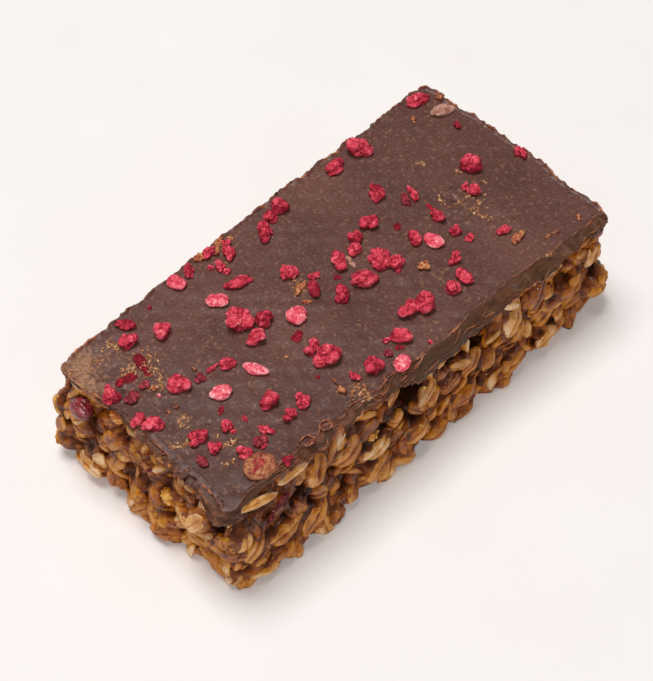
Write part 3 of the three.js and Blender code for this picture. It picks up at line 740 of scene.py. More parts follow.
def poured_chocolate():
    """Dark chocolate, poured and left to set untempered, then cut: a satin skin with a greyish cast, fine
    pale specks and pin holes darkened with painted shade, a painted shade towards the near corner, and
    knife marks along the duller cut sides."""
    material, add = new_material("dark_chocolate_poured")
    place = add("TexCoord")["Object"]
    tags = ("cut", "toffee", "pit_shade", "crest")
    cut, toffee, pit_shade, crest = (add("Attribute", attribute_name=tag)["Fac"] for tag in tags)
    slow, grit, smear, patches, grain, rolling = (
        add("TexNoise", {"Vector": place, "Scale": per_metre(size), "Detail": detail})[0]
        for size, detail in ((18.0, 5.0), (0.45, 2.0), (0.9, 5.0), (5.0, 3.0), (0.6, 3.0), (5.0, 2.0))
    )
    along = add("Mapping", {"Vector": add("UVMap", uv_map="UVMap")[0], "Scale": (0.3, 5.0, 1.0)})[0]
    knife = add("TexNoise", {"Vector": along, "Scale": 1.0, "Detail": 4.0})[0]
    # Darker towards the near corner of the top, where -X meets -Y: a painted shade.
    corner = add("VectorMath", (place, (-1.0, -1.0, 0.0)), operation="DOT_PRODUCT")["Value"]
    painted_corner_shade = add("MapRange", (corner, 0.008, 0.065, 0.0, 0.65))[0]
    dust = specks(add, place, 1.5, 0.6, 0.0, 0.14, 0.05, 0.5)
    smeared = add("Math", (toffee, 0.3, smear), operation="MULTIPLY_ADD")[0]
    tan = add("MapRange", (smeared, 0.56, 0.95, 0.0, 0.9))[0]
    level = chained(add, "Math", 2, -0.5, [(slow, 1.0), (grit, 1.0)], operation="MULTIPLY_ADD")
    skin = add("ValToRGB", [level], [(0.2, "#50312A"), (0.5, "#5F3B33"), (0.8, "#6E483E")])[0]
    # Over the skin lie the painted corner shade, pale specks, tan smears and the painted shade of the pin
    # holes.
    layers = [(painted_corner_shade, "#45251B"), (dust, "#A07B66"), (tan, "#A87856"), (pit_shade, "#1E0F0A")]
    skin = chained(add, "MixRGB", 1, skin, layers)
    side = add("ValToRGB", [knife], [(0.3, "#3C2010"), (0.5, "#502F1A"), (0.7, "#66422A")])[0]
    duller = add("MapRange", (patches, 0.5, 0.7, 0.0, 0.5))[0]
    crest = add("Math", (crest, patches), operation="MULTIPLY")[0]
    crest = add("Math", (crest, 1.5), operation="MULTIPLY", use_clamp=True)[0]
    side = chained(add, "MixRGB", 1, side, [(duller, "#6E3E26"), (crest, "#9C5C3C")])
    uneven = add("Math", (rolling, 0.6, grain), operation="MULTIPLY_ADD")[0]
    relief = add("Mix", {"Factor": cut, "A": uneven, "B": knife})[0]
    normal = add("Bump", {"Height": relief, "Strength": 0.3, "Distance": 0.2 * MM})[0]
    add("OutputMaterial", [add("BsdfPrincipled", {
        "Base Color": add("MixRGB", (cut, skin, side))[0], "Normal": normal, "IOR": 1.5,
        "Roughness": add("MapRange", (cut, 0.0, 1.0, 0.42, 0.6))[0], "Specular IOR Level": 0.35,
    })[0]])
    return material


def chocolate_burr():
    """Thin curls that the knife drags up along the edges; so thin that they look warm and reddish."""
    material, add = new_material("dark_chocolate_burr")
    place = add("TexCoord")["Object"]
    mottle, fine = (
        add("TexNoise", {"Vector": place, "Scale": per_metre(size), "Detail": detail})[0]
        for size, detail in ((1.5, 3.0), (0.4, 2.0))
    )
    colour = add("ValToRGB", [mottle], [(0.3, "#4A2418"), (0.5, "#84462C"), (0.68, "#C47A4C")])[0]
    normal = add("Bump", {"Height": fine, "Strength": 0.4, "Distance": 0.15 * MM})[0]
    add("OutputMaterial", [add("BsdfPrincipled", {
        "Base Color": colour, "Roughness": 0.45, "Normal": normal, "IOR": 1.5,
    })[0]])
    return material


def freeze_dried_fruit(name, tones, grain):
    """Raspberry with its water frozen out: dry, porous beads, paler on the ridges, where powder lies and a
    highlight is painted, and darker in the creases, with deeper colour and painted shade. The tone of each
    crumb says how much of the powdery skin it has. Crumbs of caramel and cocoa have the same dry, grainy
    look."""
    material, add = new_material(name)
    place = add("TexCoord")["Object"]
    tone, ridge_light_crease_shade = (add("Attribute", attribute_name=tag)["Fac"] for tag in ("tone", "ridge_light_crease_shade"))
    grains = add("TexVoronoi", {"Vector": place, "Scale": per_metre(grain)})["Distance"]
    mottle, powder = (
        add("TexNoise", {"Vector": place, "Scale": per_metre(size), "Detail": 3.0})[0]
        for size in (1.0, 0.3)
    )
    # The ridge tag paints a highlight on the ridges and shade in the creases.
    terms = [(mottle, 0.6), (powder, 0.9), (grains, -0.3), (ridge_light_crease_shade, 0.7), (tone, 0.75)]
    level = chained(add, "Math", 2, -0.95, terms, operation="MULTIPLY_ADD")
    colour = add("ValToRGB", [level], list(zip((0.0, 0.25, 0.5, 0.75, 1.0), tones)))[0]
    normal = add("Bump", {"Height": grains, "Strength": 0.55, "Distance": -0.2 * MM})[0]
    add("OutputMaterial", [add("BsdfPrincipled", {
        "Base Color": colour, "Roughness": 0.75, "Normal": normal, "IOR": 1.4, "Specular IOR Level": 0.3,
        "Subsurface Weight": 0.15, "Subsurface Radius": (1.0, 0.3, 0.25), "Subsurface Scale": 0.5 * MM,
    })[0]])
    return material


def dried_berry_skin():
    """A dried berry in its own sugar: a taut dark red skin under a bloom of sugar specks."""
    material, add = new_material("sugared_dried_berry")
    place = add("TexCoord")["Object"]
    mottle = add("TexNoise", {"Vector": place, "Scale": per_metre(1.6), "Detail": 4.0})[0]
    crystals = add("TexVoronoi", {"Vector": place, "Scale": per_metre(0.6)})["Distance"]
    sugar = add("MapRange", (crystals, 0.14, 0.3, 0.75, 0.0))[0]
    colour = add("ValToRGB", [mottle], [(0.3, "#3E0A0E"), (0.5, "#761A22"), (0.7, "#A0343A")])[0]
    colour = add("MixRGB", (sugar, colour, "#C89EA0"))[0]
    normal = add("Bump", {"Height": mottle, "Strength": 0.5, "Distance": 0.5 * MM})[0]
    add("OutputMaterial", [add("BsdfPrincipled", {
        "Base Color": colour, "Roughness": 0.35, "Normal": normal,
        "IOR": 1.46, "Coat Weight": 0.3, "Coat Roughness": 0.15,
        "Subsurface Weight": 0.15, "Subsurface Radius": (1.0, 0.2, 0.15), "Subsurface Scale": 1.0 * MM,
    })[0]])
    return material


def pale_board():
    """A matt, warm white table top."""
    material, add = new_material("matt_white_table")
    place = add("TexCoord")["Object"]
    mottle = add("TexNoise", {"Vector": place, "Scale": per_metre(30.0), "Detail": 2.0})[0]
    colour = add("ValToRGB", [mottle], [(0.3, "#F0EAE7"), (0.7, "#F2EDEA")])[0]
    add("OutputMaterial", [add("BsdfPrincipled", {
        "Base Color": colour, "Roughness": 0.9, "Specular IOR Level": 0.1,
    })[0]])
    return material


# ---- Camera, light and table, in metres ----
LIGHT_AIM = Vector((0, 0, 0.01))
LIGHTS = {  # place, size, power
    "overhead_softbox": ((-0.08, 0.35, 1.62), 0.77, 20.5),
    "camera_side_lamp": ((-0.83, -0.90, 1.62), 0.24, 13.3),
}
WORLD_STRENGTH = 0.15
TABLE_HALF = 1.5


def add_stage():
    """The camera, square soft boxes that face their aim, an even pale world and a table."""
    scene = bpy.context.scene
    camera = bpy.data.cameras.new("camera")
    camera.lens = LENS
    camera.sensor_fit = "VERTICAL"
    camera.sensor_height = SENSOR
    camera.clip_start = 0.01
    turn = Matrix(np.stack(camera_axes(), 1).tolist()).to_4x4()
    scene.camera = add_object("camera", camera, Matrix.Translation(Vector(CAMERA_PLACE * MM)) @ turn)
    for name, (place, size, power) in LIGHTS.items():
        light = bpy.data.lights.new(name, "AREA")
        light.shape = "SQUARE"
        light.size = size
        light.energy = power
        turn = (LIGHT_AIM - Vector(place)).to_track_quat("-Z", "Y").to_matrix().to_4x4()
        add_object(name, light, Matrix.Translation(place) @ turn)
    world = bpy.data.worlds.new("studio")
    world.use_nodes = True
    light = world.node_tree.nodes["Background"].inputs
    light["Color"].default_value = linear("#FFFFFF")
    light["Strength"].default_value = WORLD_STRENGTH
    scene.world = world
    scene.view_settings.view_transform = "Standard"
    corners = [(TABLE_HALF * x, TABLE_HALF * y, 0) for x, y in ((-1, -1), (1, -1), (1, 1), (-1, 1))]
    mesh = bpy.data.meshes.new("table")
    mesh.from_pydata(corners, [], [(0, 1, 2, 3)])
    mesh.materials.append(pale_board())
    table = add_object("table", mesh, Matrix())


# ---- Chocolate layer ----
def chocolate_top(flat):
    """Height of the poured surface: level, with a slow swell and a fine unevenness."""
    return CHOCOLATE_TOP + 0.1 * ripples(flat, 26, 11) + 0.03 * ripples(flat, 4, 12)


def slump_at(s):
    """How far the chocolate has slumped outwards: fully at the -X end's near half, and round the corner."""
    y = outline_place(s, 0 * s)[0][:, 1]
    return np.where(s > LEFT_END, smooth_step(6, -6, y), smooth_step(7, 0, s))


def far_side_at(s):
    """1 along the +X end and the +Y side, where the knife left a raised reddish lip, and 0 elsewhere."""
    return smooth_step(-3, 3, s - SIDE_STARTS[1]) * smooth_step(3, -3, s - LEFT_END)


def chocolate_edges():
    """The chocolate by distance round the bar: the reach of its rim, the reach of its outermost points, and
    the height of its lower edge. The rim is the upper edge's pixels. The others are the frame's chocolate,
    smoothed. Where the lower edge shows, it is brought to the pixels that show it, by moving it up or
    down, and where it would come out too thin, inwards. On the hidden sides these amounts run evenly from
    the one end's to the other's."""
    points = frame_samples("chocolate_layer", 1)
    s, reach = outline_distance(points)
    around = round(OUTLINE_LENGTH / MAP_STEP)
    column = column_of(s, around)
    outermost, lowest = np.full(around, EMPTY), np.full(around, -EMPTY)
    np.maximum.at(outermost, column, reach)
    at_side = reach > outermost[column] - 0.8
    np.minimum.at(lowest, column[at_side], points[at_side, 2])
    outermost, lowest = (blurred(row[:, None], 6)[:, 0] for row in (outermost, lowest))

    def all_round(at, values):
        return np.interp(middles(around), at, values, period=OUTLINE_LENGTH)

    def slumped(s):
        return by_distance(outermost, s) + SLUMP * slump_at(s)

    upper = [
        side_distance(through_pixels(pixels, 2, CHOCOLATE_TOP), side) for side, pixels in UPPER_EDGE.items()
    ]
    rim = all_round(*np.concatenate(upper, 1))
    highest = CHOCOLATE_TOP - THINNEST
    known = []
    for side, pixels in LOWER_EDGE.items():
        places, at = side_places(pixels, side, lambda s, z: slumped(s))
        thin_at, thin_reach = side_distance(through_pixels(pixels, 2, highest), side)
        thin = places[:, 2] > highest
        at = np.where(thin, thin_at, at)
        reach = np.where(thin, thin_reach, slumped(at)) - by_distance(outermost, at)
        known.append([at, np.minimum(places[:, 2], highest) - by_distance(lowest, at), reach])
    at, up, out = np.concatenate(known, 1)
    outermost = outermost + all_round(at, out)
    return rim, np.maximum(outermost, rim + 0.25), np.minimum(lowest + all_round(at, up), highest)


def grid_border(columns, rows):
    """Index of each border point of a grid, anticlockwise from the first, and its distance round."""
    index = np.arange(columns * rows).reshape(rows, columns)
    loop = np.concatenate([index[0, :-1], index[:-1, -1], index[-1, :0:-1], index[:0:-1, 0]])
    ends = np.append(SIDE_STARTS, OUTLINE_LENGTH)
    counts = (columns - 1, rows - 1) * 2
    sides = [np.linspace(*ends[i : i + 2], count, endpoint=False) for i, count in enumerate(counts)]
    return loop, np.concatenate(sides)


def patch_from_border(border, columns, rows):
    """A Coons patch: the surface between four edges, each point blended from the edges facing it."""
    n, m = columns - 1, rows - 1
    front, right = border[: n + 1], border[n : n + m + 1]
    back = border[n + m : 2 * n + m + 1][::-1]
    left = np.concatenate([border[2 * n + m :], border[:1]])[::-1]
    u, v = np.linspace(0, 1, columns)[None, :, None], np.linspace(0, 1, rows)[:, None, None]
    across = front[None] * (1 - v) + back[None] * v
    along = left[:, None] * (1 - u) + right[:, None] * u
    corners = (front[0] * (1 - u) + front[-1] * u) * (1 - v) + (back[0] * (1 - u) + back[-1] * u) * v
    return (across + along - corners).reshape(-1, border.shape[-1])


def spots(flat, rows):
    """For each pixel with a radius and a strength: its strength, and how near each point is to it."""
    for *pixel, radius, strength in rows:
        away = flat - through_pixels(pixel, 2, CHOCOLATE_TOP)[0, :2]
        yield strength, hill(np.linalg.norm(away, axis=-1), 0, radius)


def chocolate_layer(rim, outermost, lowest):
    """Top and underside are patches between wavy edges. The side is rows of points round the bar: over a
    ragged lip, down the cut face, and back in under the overhang. At the -X end the chocolate has slumped
    outwards in folds near the -Y corner, and it draws in a little at the +Y corner."""
    loop, s = grid_border(*CHOCOLATE_GRID)
    place, _ = outline_place(s, 0 * s)
    slump = slump_at(s)
    rough_front = hill(s, 29, 13)
    nicks = smooth_step(0.6, 1.4, ripples(place, 7, 20))
    ragged = (0.07 + 0.12 * nicks) * ripples(place, 1.7, 21) + 0.16 * ripples(place, 7, 22)
    ragged += 0.18 * rough_front * ripples(place, 2.6, 29)
    top_reach = by_distance(rim, s) + 0.7 * ragged
    side_reach = by_distance(outermost, s) + 0.12 * ripples(place, 3.5, 23) - 0.3 * hill(s, LEFT_END, 5)
    low = by_distance(lowest, s) + 0.25 * ripples(place, 3.0, 24)
    low += (0.26 + 0.1 * slump) * ripples(place, 1.2, 25) + 0.45 * slump * ripples(place, 3.4, 36)
    lip = np.clip(0.2 + 0.16 * ripples(place, 2.2, 26) + 0.15 * far_side_at(s), 0.02, 0.6)
    lip *= 1 - 0.8 * slump
    inset, _ = outline_place(s, top_reach - TOP_MARGIN)
    rim_height = chocolate_top(inset) - 0.3 * slump
    over_lip = ((-0.35, 0.6), (-0.1, 1.0), (0.05, 0.4))  # outwards in millimetres, and shares of its height
    rows = [(top_reach + out, rim_height + up * lip) for out, up in over_lip]
    crests = [0 * s] * len(rows)
    for down in np.linspace(0.06, 0.97, CUT_ROWS):
        height = rim_height * (1 - down) + low * down
        reach = top_reach + (side_reach - top_reach) * np.sin(down * math.pi / 2)
        spot = np.concatenate([place * 0.25, height[:, None] * 1.6], 1)
        folds = np.abs(ripples(np.stack([s * 0.35 + height * 0.3, height * 1.2], 1), 2.6, 31))
        relief = 0.07 * ripples(spot, 2.0, 27) + 0.04 * ripples(spot * 2, 1.2, 28)
        relief += 0.95 * slump * (0.7 - folds) + 0.22 * rough_front * ripples(spot * 1.5, 1.6, 32)
        crests.append(slump * smooth_step(0.35, 0.05, folds))
        rows.append((reach + relief, height))
    rise = np.clip((rim_height - low - 0.5) / 1.6, 0.25, 1)
    overhang = ((0.25, 0), (0.7, 0.12), (1.6, 0.4), (3.0, 0.8))  # inwards, and shares of its rise
    rows += [(side_reach - inwards, low + up * rise) for inwards, up in overhang]
    crests += [0 * s] * len(overhang)
    side = np.stack([np.stack([s, height, reach], -1) for reach, height in rows])

    top = patch_from_border(inset, *CHOCOLATE_GRID)
    heights = chocolate_top(top)
    pit_shades, toffee = np.zeros((2, len(top)))
    for depth, near in spots(top, DIMPLES):
        heights -= 0.4 * depth * near
        # The pin holes are painted near black: painted shade in the hollows.
        pit_shades = np.maximum(pit_shades, 0.8 * smooth_step(0.3, 1.0, near))
    for strength, near in spots(top, TOFFEE_SMEARS):
        toffee += strength * near
    under_border = rolled(np.stack([s, low + rise, side_reach - UNDER_MARGIN], -1))
    under = patch_from_border(under_border, *CHOCOLATE_GRID)
    under[:, 2] = np.minimum(under[:, 2], CHOCOLATE_TOP - THINNEST)
    points = np.concatenate([np.column_stack([top, heights]), under, rolled(side).reshape(-1, 3)])

    count, rings, around = len(top), *side.shape[:2]
    first = 2 * count + np.arange(around)
    last = first + (rings - 1) * around
    after = np.roll(np.arange(around), -1)
    flat_faces = grid_faces(*CHOCOLATE_GRID[::-1], False)
    faces = [
        flat_faces, flat_faces[:, ::-1] + count, grid_faces(rings, around, True)[:, ::-1] + 2 * count,
        np.stack([loop, first, first[after], loop[after]], 1),
        np.stack([last, loop + count, loop[after] + count, last[after]], 1),
    ]
    side_cut = np.clip(np.arange(rings) / 3 - 0.4, 0, 1)[:, None] * (1 - 0.3 * slump)
    tags = {  # over the top, the underside and the sides
        "cut": (0 * pit_shades, 0 * pit_shades + 1, side_cut),
        "toffee": (toffee, 0 * pit_shades, np.tile(toffee[loop], rings)),
        "pit_shade": (pit_shades, 0 * pit_shades, 0 * side_cut),
        "crest": (0 * pit_shades, 0 * pit_shades, np.stack(crests)),
    }
    add_piece(
        "chocolate_slab", points, faces, poured_chocolate(), replaces=["chocolate_layer"],
        tags={tag: np.concatenate([np.ravel(part) for part in parts]) for tag, parts in tags.items()},
        flat_places=np.concatenate([top, under[:, :2], side[..., :2].reshape(-1, 2)]),
    )
    return {"s": s, "top_reach": top_reach, "rim_height": rim_height, "lip": lip, "low": low,
            "side_reach": side_reach}


def tubes(name, paths, across_ways, up_ways, sizes, material):
    """Closed loops of tube: a six-sided profile carried along each path, with a size at each point."""
    angles = round_steps(6)[:, None]
    circle = np.cos(angles) * across_ways[..., None, :] + np.sin(angles) * up_ways
    points = paths[..., None, :] + circle * sizes[..., None, None]
    count, length, sides, _ = points.shape
    faces = grid_faces(length + 1, sides, True)[:, ::-1] % (length * sides)
    add_piece(name, points, [repeated(faces, length * sides, count)], material)


def edge_burr(name, s, reach, height, thickness, material, seed):
    """A thin ragged bead along an edge: a round profile carried round the bar, its width and its place
    changing with noise, so that it comes and goes."""
    flat, way = outline_place(s, reach)
    path = np.column_stack([flat, height])
    size = np.clip(0.7 + 0.4 * ripples(path, 4.0, seed) + 0.3 * ripples(path, 0.9, seed + 1), 0.15, 1.5)
    path[:, 2] += 0.1 * ripples(path, 1.5, seed + 2)
    outward = 0.8 * np.column_stack([way, 0 * s])
    tubes(name, path[None], outward[None], UPWARD, (thickness * size)[None], material)


def chocolate_burrs(edges, material):
    """The burrs along the upper edge, thicker where the knife left a lip, and along the lower edge."""
    s = edges["s"]
    thicker = 1 + 0.5 * slump_at(s) + 0.6 * far_side_at(s)
    height = edges["rim_height"] + 0.5 * edges["lip"]
    edge_burr("upper_edge_burr", s, edges["top_reach"], height, 0.18 * thicker, material, 41)
    edge_burr("lower_edge_burr", s, edges["side_reach"] - 0.2, edges["low"] + 0.05, 0.17, material, 51)


def chocolate_shreds(edges, material):
    """Thin shreds that the knife has pulled along the cut side: round profiles that taper towards both
    ends, carried along short wavy lines that lie on the side or arch off it."""
    rng = np.random.default_rng(81)
    s = np.concatenate([rng.uniform(*span, count) for *span, count in SHREDS])[:, None]
    each = partial(rng.uniform, size=s.shape)
    t = np.linspace(-1, 1, 9)[None]
    half, slope = each(0.7, 2.6), rng.normal(0, 0.22, s.shape)
    down = each(-0.02, 0.92) + (half * slope * t + 0.25 * np.sin(each(1, 3) * t + each(0, 6))) / 5
    down = np.clip(down, 0, 1)
    s = s + half * t
    top_reach, side_reach, high, low = (
        np.interp(s, edges["s"], edges[edge], period=OUTLINE_LENGTH)
        for edge in ("top_reach", "side_reach", "rim_height", "low")
    )
    reach = top_reach + (side_reach - top_reach) * np.sin(down * math.pi / 2) + 0.08
    path = np.stack([s, high * (1 - down) + low * down, reach + each(0, 0.4) * (1 - t * t)], -1)
    size = each(0.06, 0.14) * np.sqrt(1.02 - t * t)
    turn = round_steps(6)
    circle = np.stack([0 * turn, np.cos(turn), np.sin(turn)], 1)
    rings = (path[:, :, None] + size[:, :, None, None] * circle).reshape(len(s), -1, 3)
    flat = np.concatenate([path[:, :1], rings, path[:, -1:]], 1)
    faces = ball_faces(t.size, turn.size, len(s))
    add_piece("chocolate_shreds", rolled(flat), faces, material)


def chocolate_curls(material):
    """Loops of thin chocolate that stand on the edge: a fine tube round an oval."""
    turn = round_steps(24)[:, None]
    made = []
    for index, (centre, ways, size) in enumerate(zip(*lying(CURLS, 0.3))):
        oval = np.cos(turn) * ways[0] * size[0] / 2 + np.sin(turn) * ways[1] * size[1] / 2
        path = centre + oval * (1 + 0.12 * ripples(oval, 1.4, 61 + index)[:, None]) + [0, 0, 0.1]
        made.append((path, normalised(oval), 0.2 + 0.07 * ripples(path, 1.0, 71 + index)))
    paths, outward, sizes = (np.stack(part) for part in zip(*made))
    tubes("chocolate_curls", paths, outward, UPWARD, sizes, material)


def chocolate_shavings(material):
    """Small flat bits of chocolate, each a low lump of four lobes."""
    points, faces, _ = crumb_bodies(*lying(CHIPS, 0.6), 4, 1.0, 0.05, 701, 8, 14)
    add_piece("chocolate_shavings", points, faces, material)


# ---- Oats ----
def flake_bodies(centres, length_ways, width_ways, sizes, proud, headroom, look, seed):
    """Many closed flakes at once, unrolled. Each is an oval outline with a ragged rim between a shallow
    underside and a domed top; the whole is cupped, bent and twisted a little. It is pressed in where it
    stands prouder of the oats' surface than it may, or higher above the chocolate's lower edge than its
    headroom. Each point is tagged with its place across the flake and its share of the way to the rim."""
    rng = np.random.default_rng(seed)
    count = len(centres)
    each = partial(rng.uniform, size=(count, 1))
    around, under, over = look
    shares = under[::-1] + (1.0,) + over
    rings = len(shares)
    lifts = [-1] * len(under) + [0] + [1] * len(over)
    share, lift = np.r_[0, np.repeat(shares, around), 0], np.r_[-1, np.repeat(lifts, around), 1]
    angle = np.r_[0, np.tile(round_steps(around), rings), 0]
    ragged = 1 + sum(
        rng.normal(0, 0.08 / k**0.5, (count, 1)) * np.sin(k * angle + each(0, 6.3)) for k in (2, 3, 5)
    )
    x = share * np.cos(angle) * ragged
    y = share * np.sin(angle) * np.abs(np.sin(angle)) ** each(0, 0.25) * ragged
    z = np.sqrt(1 - share**2.6) * lift
    length, width, thick = (sizes[:, i : i + 1] / 2 for i in range(3))
    local = np.stack([x * length, y * width, z * thick], -1)
    shifted = local + rng.uniform(-50, 50, (count, 1, 3))
    crease = hill(y, 0, 0.2) * (z > 0) * each(0, 0.35)
    local[..., 2] += 0.14 * ripples(shifted, 2.0, seed + 1) - crease * thick
    cup, bend, twist = each(-0.2, 0.6), rng.normal(0.1, 0.45, (count, 1)), rng.normal(0, 0.3, (count, 1))
    local[..., 2] += -cup * y**2 - bend * x**2 + twist * x * y
    axes = np.stack([length_ways, width_ways, np.cross(length_ways, width_ways)], 1)
    flat = centres[:, None] + local @ axes
    foot = by_distance(CHOCOLATE_LOW, flat[..., 0])
    flat[..., 1] = np.clip(flat[..., 1], 0.02, foot + headroom)
    too_proud = flat[..., 2] - oat_reach(flat[..., 0], flat[..., 1]) - proud
    flat[..., 2] -= 0.8 * np.maximum(too_proud, 0)
    flat_places = np.stack([x * length, y * width], -1) + rng.uniform(0, 90, (count, 1, 2))
    tags = {"across": np.where(z < 0, 1, y), "rim": share}
    return flat, ball_faces(rings, around, count), tags, flat_places


def facing(normals, lean, tilt_long, tilt_wide):
    """Unrolled directions along and across flakes: turned from level by the lean, then tilted."""
    length_way = normalised(np.array([1.0, 0, 0]) - normals * normals[:, :1])
    length_way = turned(length_way, normals, lean)
    width_way = turned(np.cross(normals, length_way), length_way, tilt_long)
    return turned(length_way, width_way, tilt_wide), width_way


def gaps_at(s, z):
    """Where the bar has gaps between its clusters of oats, from 0 to 1."""
    return smooth_step(0.7, 1.7, ripples(rolled(np.stack([s, z, 0 * s], -1)), 4.5, 33))


def flake_places(depth, gap, most, seed, taken):
    """Places on the oats' surface, sunk by a depth, with directions along and across each flake."""
    rng = np.random.default_rng(seed)
    s = rng.uniform(0, OUTLINE_LENGTH, FLAKE_TRIES)
    z = 1.0 + rng.random(FLAKE_TRIES) * (by_distance(CHOCOLATE_LOW, s) - 1.2)
    places = np.stack([s, z, oat_reach(s, z)], 1)
    clear = gaps_at(s, z) < 0.6
    for place, radius, _ in CAVITY_PLACES:
        clear &= ((places - place)[:, :2] ** 2).sum(1) > (radius + 2.4) ** 2
    places = places[clear]
    places = places[spaced_out(places, gap, most, seed + 1, taken)]
    count = len(places)
    normals = normalised(rng.normal(0, 0.22, (count, 3)) + [0, 0.12, 1])
    on_end = np.mod(places[:, 0], SIDE_STARTS[2]) > SIDE_STARTS[1]
    lean = np.where(on_end, rng.uniform(-0.6, 1.3, count), rng.normal(0.5, 0.7, count))
    on_edge = (rng.random(count) < 0.45) * rng.choice([-1, 1], count) * rng.uniform(0.5, 1.1, count)
    ways = facing(normals, lean, on_edge + rng.normal(0, 0.2, count), rng.normal(0, 0.18, count))
    places[:, 2] -= depth + 1.1 * np.abs(np.sin(on_edge))
    places[:, 1] = np.maximum(places[:, 1], 1.4)
    return places, *ways


def flake_sizes(count, seed):
    """Random lengths, widths and thicknesses; a share of the flakes are kernels."""
    rng = np.random.default_rng(seed)
    spans = (FLAKE_LENGTH, FLAKE_WIDTH, FLAKE_THICKNESS)
    sizes = np.stack([rng.uniform(*span, count) for span in spans], 1)
    sizes[rng.random(count) < KERNEL_SHARE] *= KERNEL_SIZE
    return sizes


def brighter_at(flat):
    """Brighter low down, at the -X end and towards the +X end, and darker high up near the corner of -X and
    -Y."""
    s, z = flat[..., 0], flat[..., 1]
    low = smooth_step(8, 2, z)
    on_end = smooth_step(LEFT_END, LEFT_END + 4, s)
    far, near = hill(s, 88, 18), hill(s, 12, 18)
    return 0.04 + 0.1 * low + on_end * (0.08 + 0.12 * low) + 0.05 * far - 0.07 * near * (1 - low)


def named_bodies(rows, lift, normal, thickness, spreads, pressed, seed):
    """Flakes of rows that give pixel, side, length, width and lean, facing the way of a normal. The spreads
    are those of their random tilts, and pressed is how proud they may stand and their headroom."""
    places = seen_on_sides(rows) + [0, 0, lift]
    rng = np.random.default_rng(161)
    length, width, lean = np.array([row[3:6] for row in rows]).T
    normals = np.broadcast_to(normalised(np.array(normal)), places.shape)
    tilts = [rng.normal(0, spread, len(rows)) for spread in spreads]
    ways = facing(normals, np.radians(lean), *tilts)
    sizes = np.stack([length, width, 0 * width + thickness], 1)
    return places, flake_bodies(places, *ways, sizes, *pressed, NAMED_FLAKE, seed)


def oat_flakes():
    """The named flakes and three depths of others round the sides, these shared out between the kinds: for
    each piece its name, unrolled points, faces, numbers for the material and flat places."""
    taken, named = named_bodies(HERO_FLAKES, 0, (0, 0.3, 1), NAMED_THICKNESS, (0.12, 0.08), (1.2, 0.3), 141)
    darkest, palest = np.array([OAT_KINDS[flake[-1]][1:] for flake in HERO_FLAKES]).T[..., None]
    named[2]["tone"] = darkest * 0.3 + palest * 0.7
    made = [("oat_flakes_named", *named)]
    gathered = []
    rng = np.random.default_rng(131)
    shares = [share for share, *_ in OAT_KINDS.values()]
    for depth, gap, most, seed in FLAKE_LAYERS:
        places = flake_places(depth, gap, most, seed, taken)
        count = len(places[0])
        gathered.append((*places, flake_sizes(count, seed + 3), rng.choice(3, count, p=shares)))
    *laid, kinds = (np.concatenate(parts) for parts in zip(*gathered))
    for index, (name, (_, darkest, palest)) in enumerate(OAT_KINDS.items()):
        mine = kinds == index
        flat, faces, tags, flat_places = flake_bodies(
            *(part[mine] for part in laid), 0.25, 0.2, PLAIN_FLAKE, 142 + index
        )
        tone = np.random.default_rng(151 + index).uniform(darkest, palest, (mine.sum(), 1))
        tags["tone"] = np.minimum(tone + brighter_at(flat), 0.9)
        made.append(("oat_flakes_" + name, flat, faces, tags, flat_places))
    return made


def husks():
    """Long pale husks under the edge of the chocolate."""
    _, made = named_bodies(HUSKS, 1.2, (0, 0.9, 1), HUSK_THICKNESS, (0, 0), (2.0, 4.0), 181)
    made[2]["tone"] = 0.8
    return "oat_husks", *made


def crumb_bodies(centres, ways, sizes, lobes, spread, grain, seed, rings=11, around=20):
    """Many closed crumbs at once. From a crumb's middle the surface lies, in every direction, on the
    furthest of a few overlapping balls, and has a fine grain. It is then fitted to the crumb's size."""
    rng = np.random.default_rng(seed)
    count = len(centres)
    directions = ball_directions(rings, around)
    middles = normalised(rng.normal(size=(count, lobes, 3)) * [1, 1, 0.7])
    middles *= spread * rng.uniform(0.3, 0.62, (count, lobes, 1))
    radii = rng.uniform(0.36, 0.62, (count, lobes))
    along = np.einsum("nd,kld->knl", directions, middles)
    inside = (radii**2 - (middles**2).sum(-1))[:, None] + along**2
    exits = np.where(inside > 0, along + np.sqrt(np.maximum(inside, 0)), 0)
    exits = np.sort(np.concatenate([exits, np.full(exits.shape[:2] + (1,), 0.42)], -1), -1)
    crease = hill(exits[..., -1], exits[..., -2], 0.09)
    shape = directions * exits[..., -1:]
    low, high = shape.min(1, keepdims=True), shape.max(1, keepdims=True)
    local = (shape - (low + high) / 2) / (high - low) * sizes[:, None]
    places = local + rng.uniform(-50, 50, (count, 1, 3))
    fine = ripples(places, 0.6, seed + 1)
    ridges = 0.8 - np.abs(ripples(places, 1.8, seed + 2))
    local += normalised(local) * grain * (fine + 1.7 * ridges - 1.2 * crease)[..., None]
    # The tag is paler on the ridges and darker in the creases between lobes: painted highlight and painted
    # shade, over a random tone.
    tags = {"ridge_light_crease_shade": np.clip(0.55 + 0.2 * fine + 0.12 * ridges - 0.45 * crease, 0, 1)}
    return centres[:, None] + local @ ways, ball_faces(rings, around, count), tags


def lumps():
    """Round lumps of syrup and oat that stand out of the sides."""
    places = seen_on_sides(LUMPS) - [0, 0, 0.6]
    ways = np.broadcast_to(np.eye(3), (len(places), 3, 3))
    sizes = np.array([row[3:] for row in LUMPS])
    flat, faces, tags = crumb_bodies(places, ways, sizes, 5, 0.7, 0.12, 171, 15, 26)
    tone = np.random.default_rng(172).uniform(0.6, 0.85, (len(places), 1))
    # The lumps' tone follows the same tag: painted highlight on their ridges, painted shade in their
    # creases.
    return "oat_lumps", flat, faces, {"tone": tone + 0.5 * (tags["ridge_light_crease_shade"] - 0.5)}, None


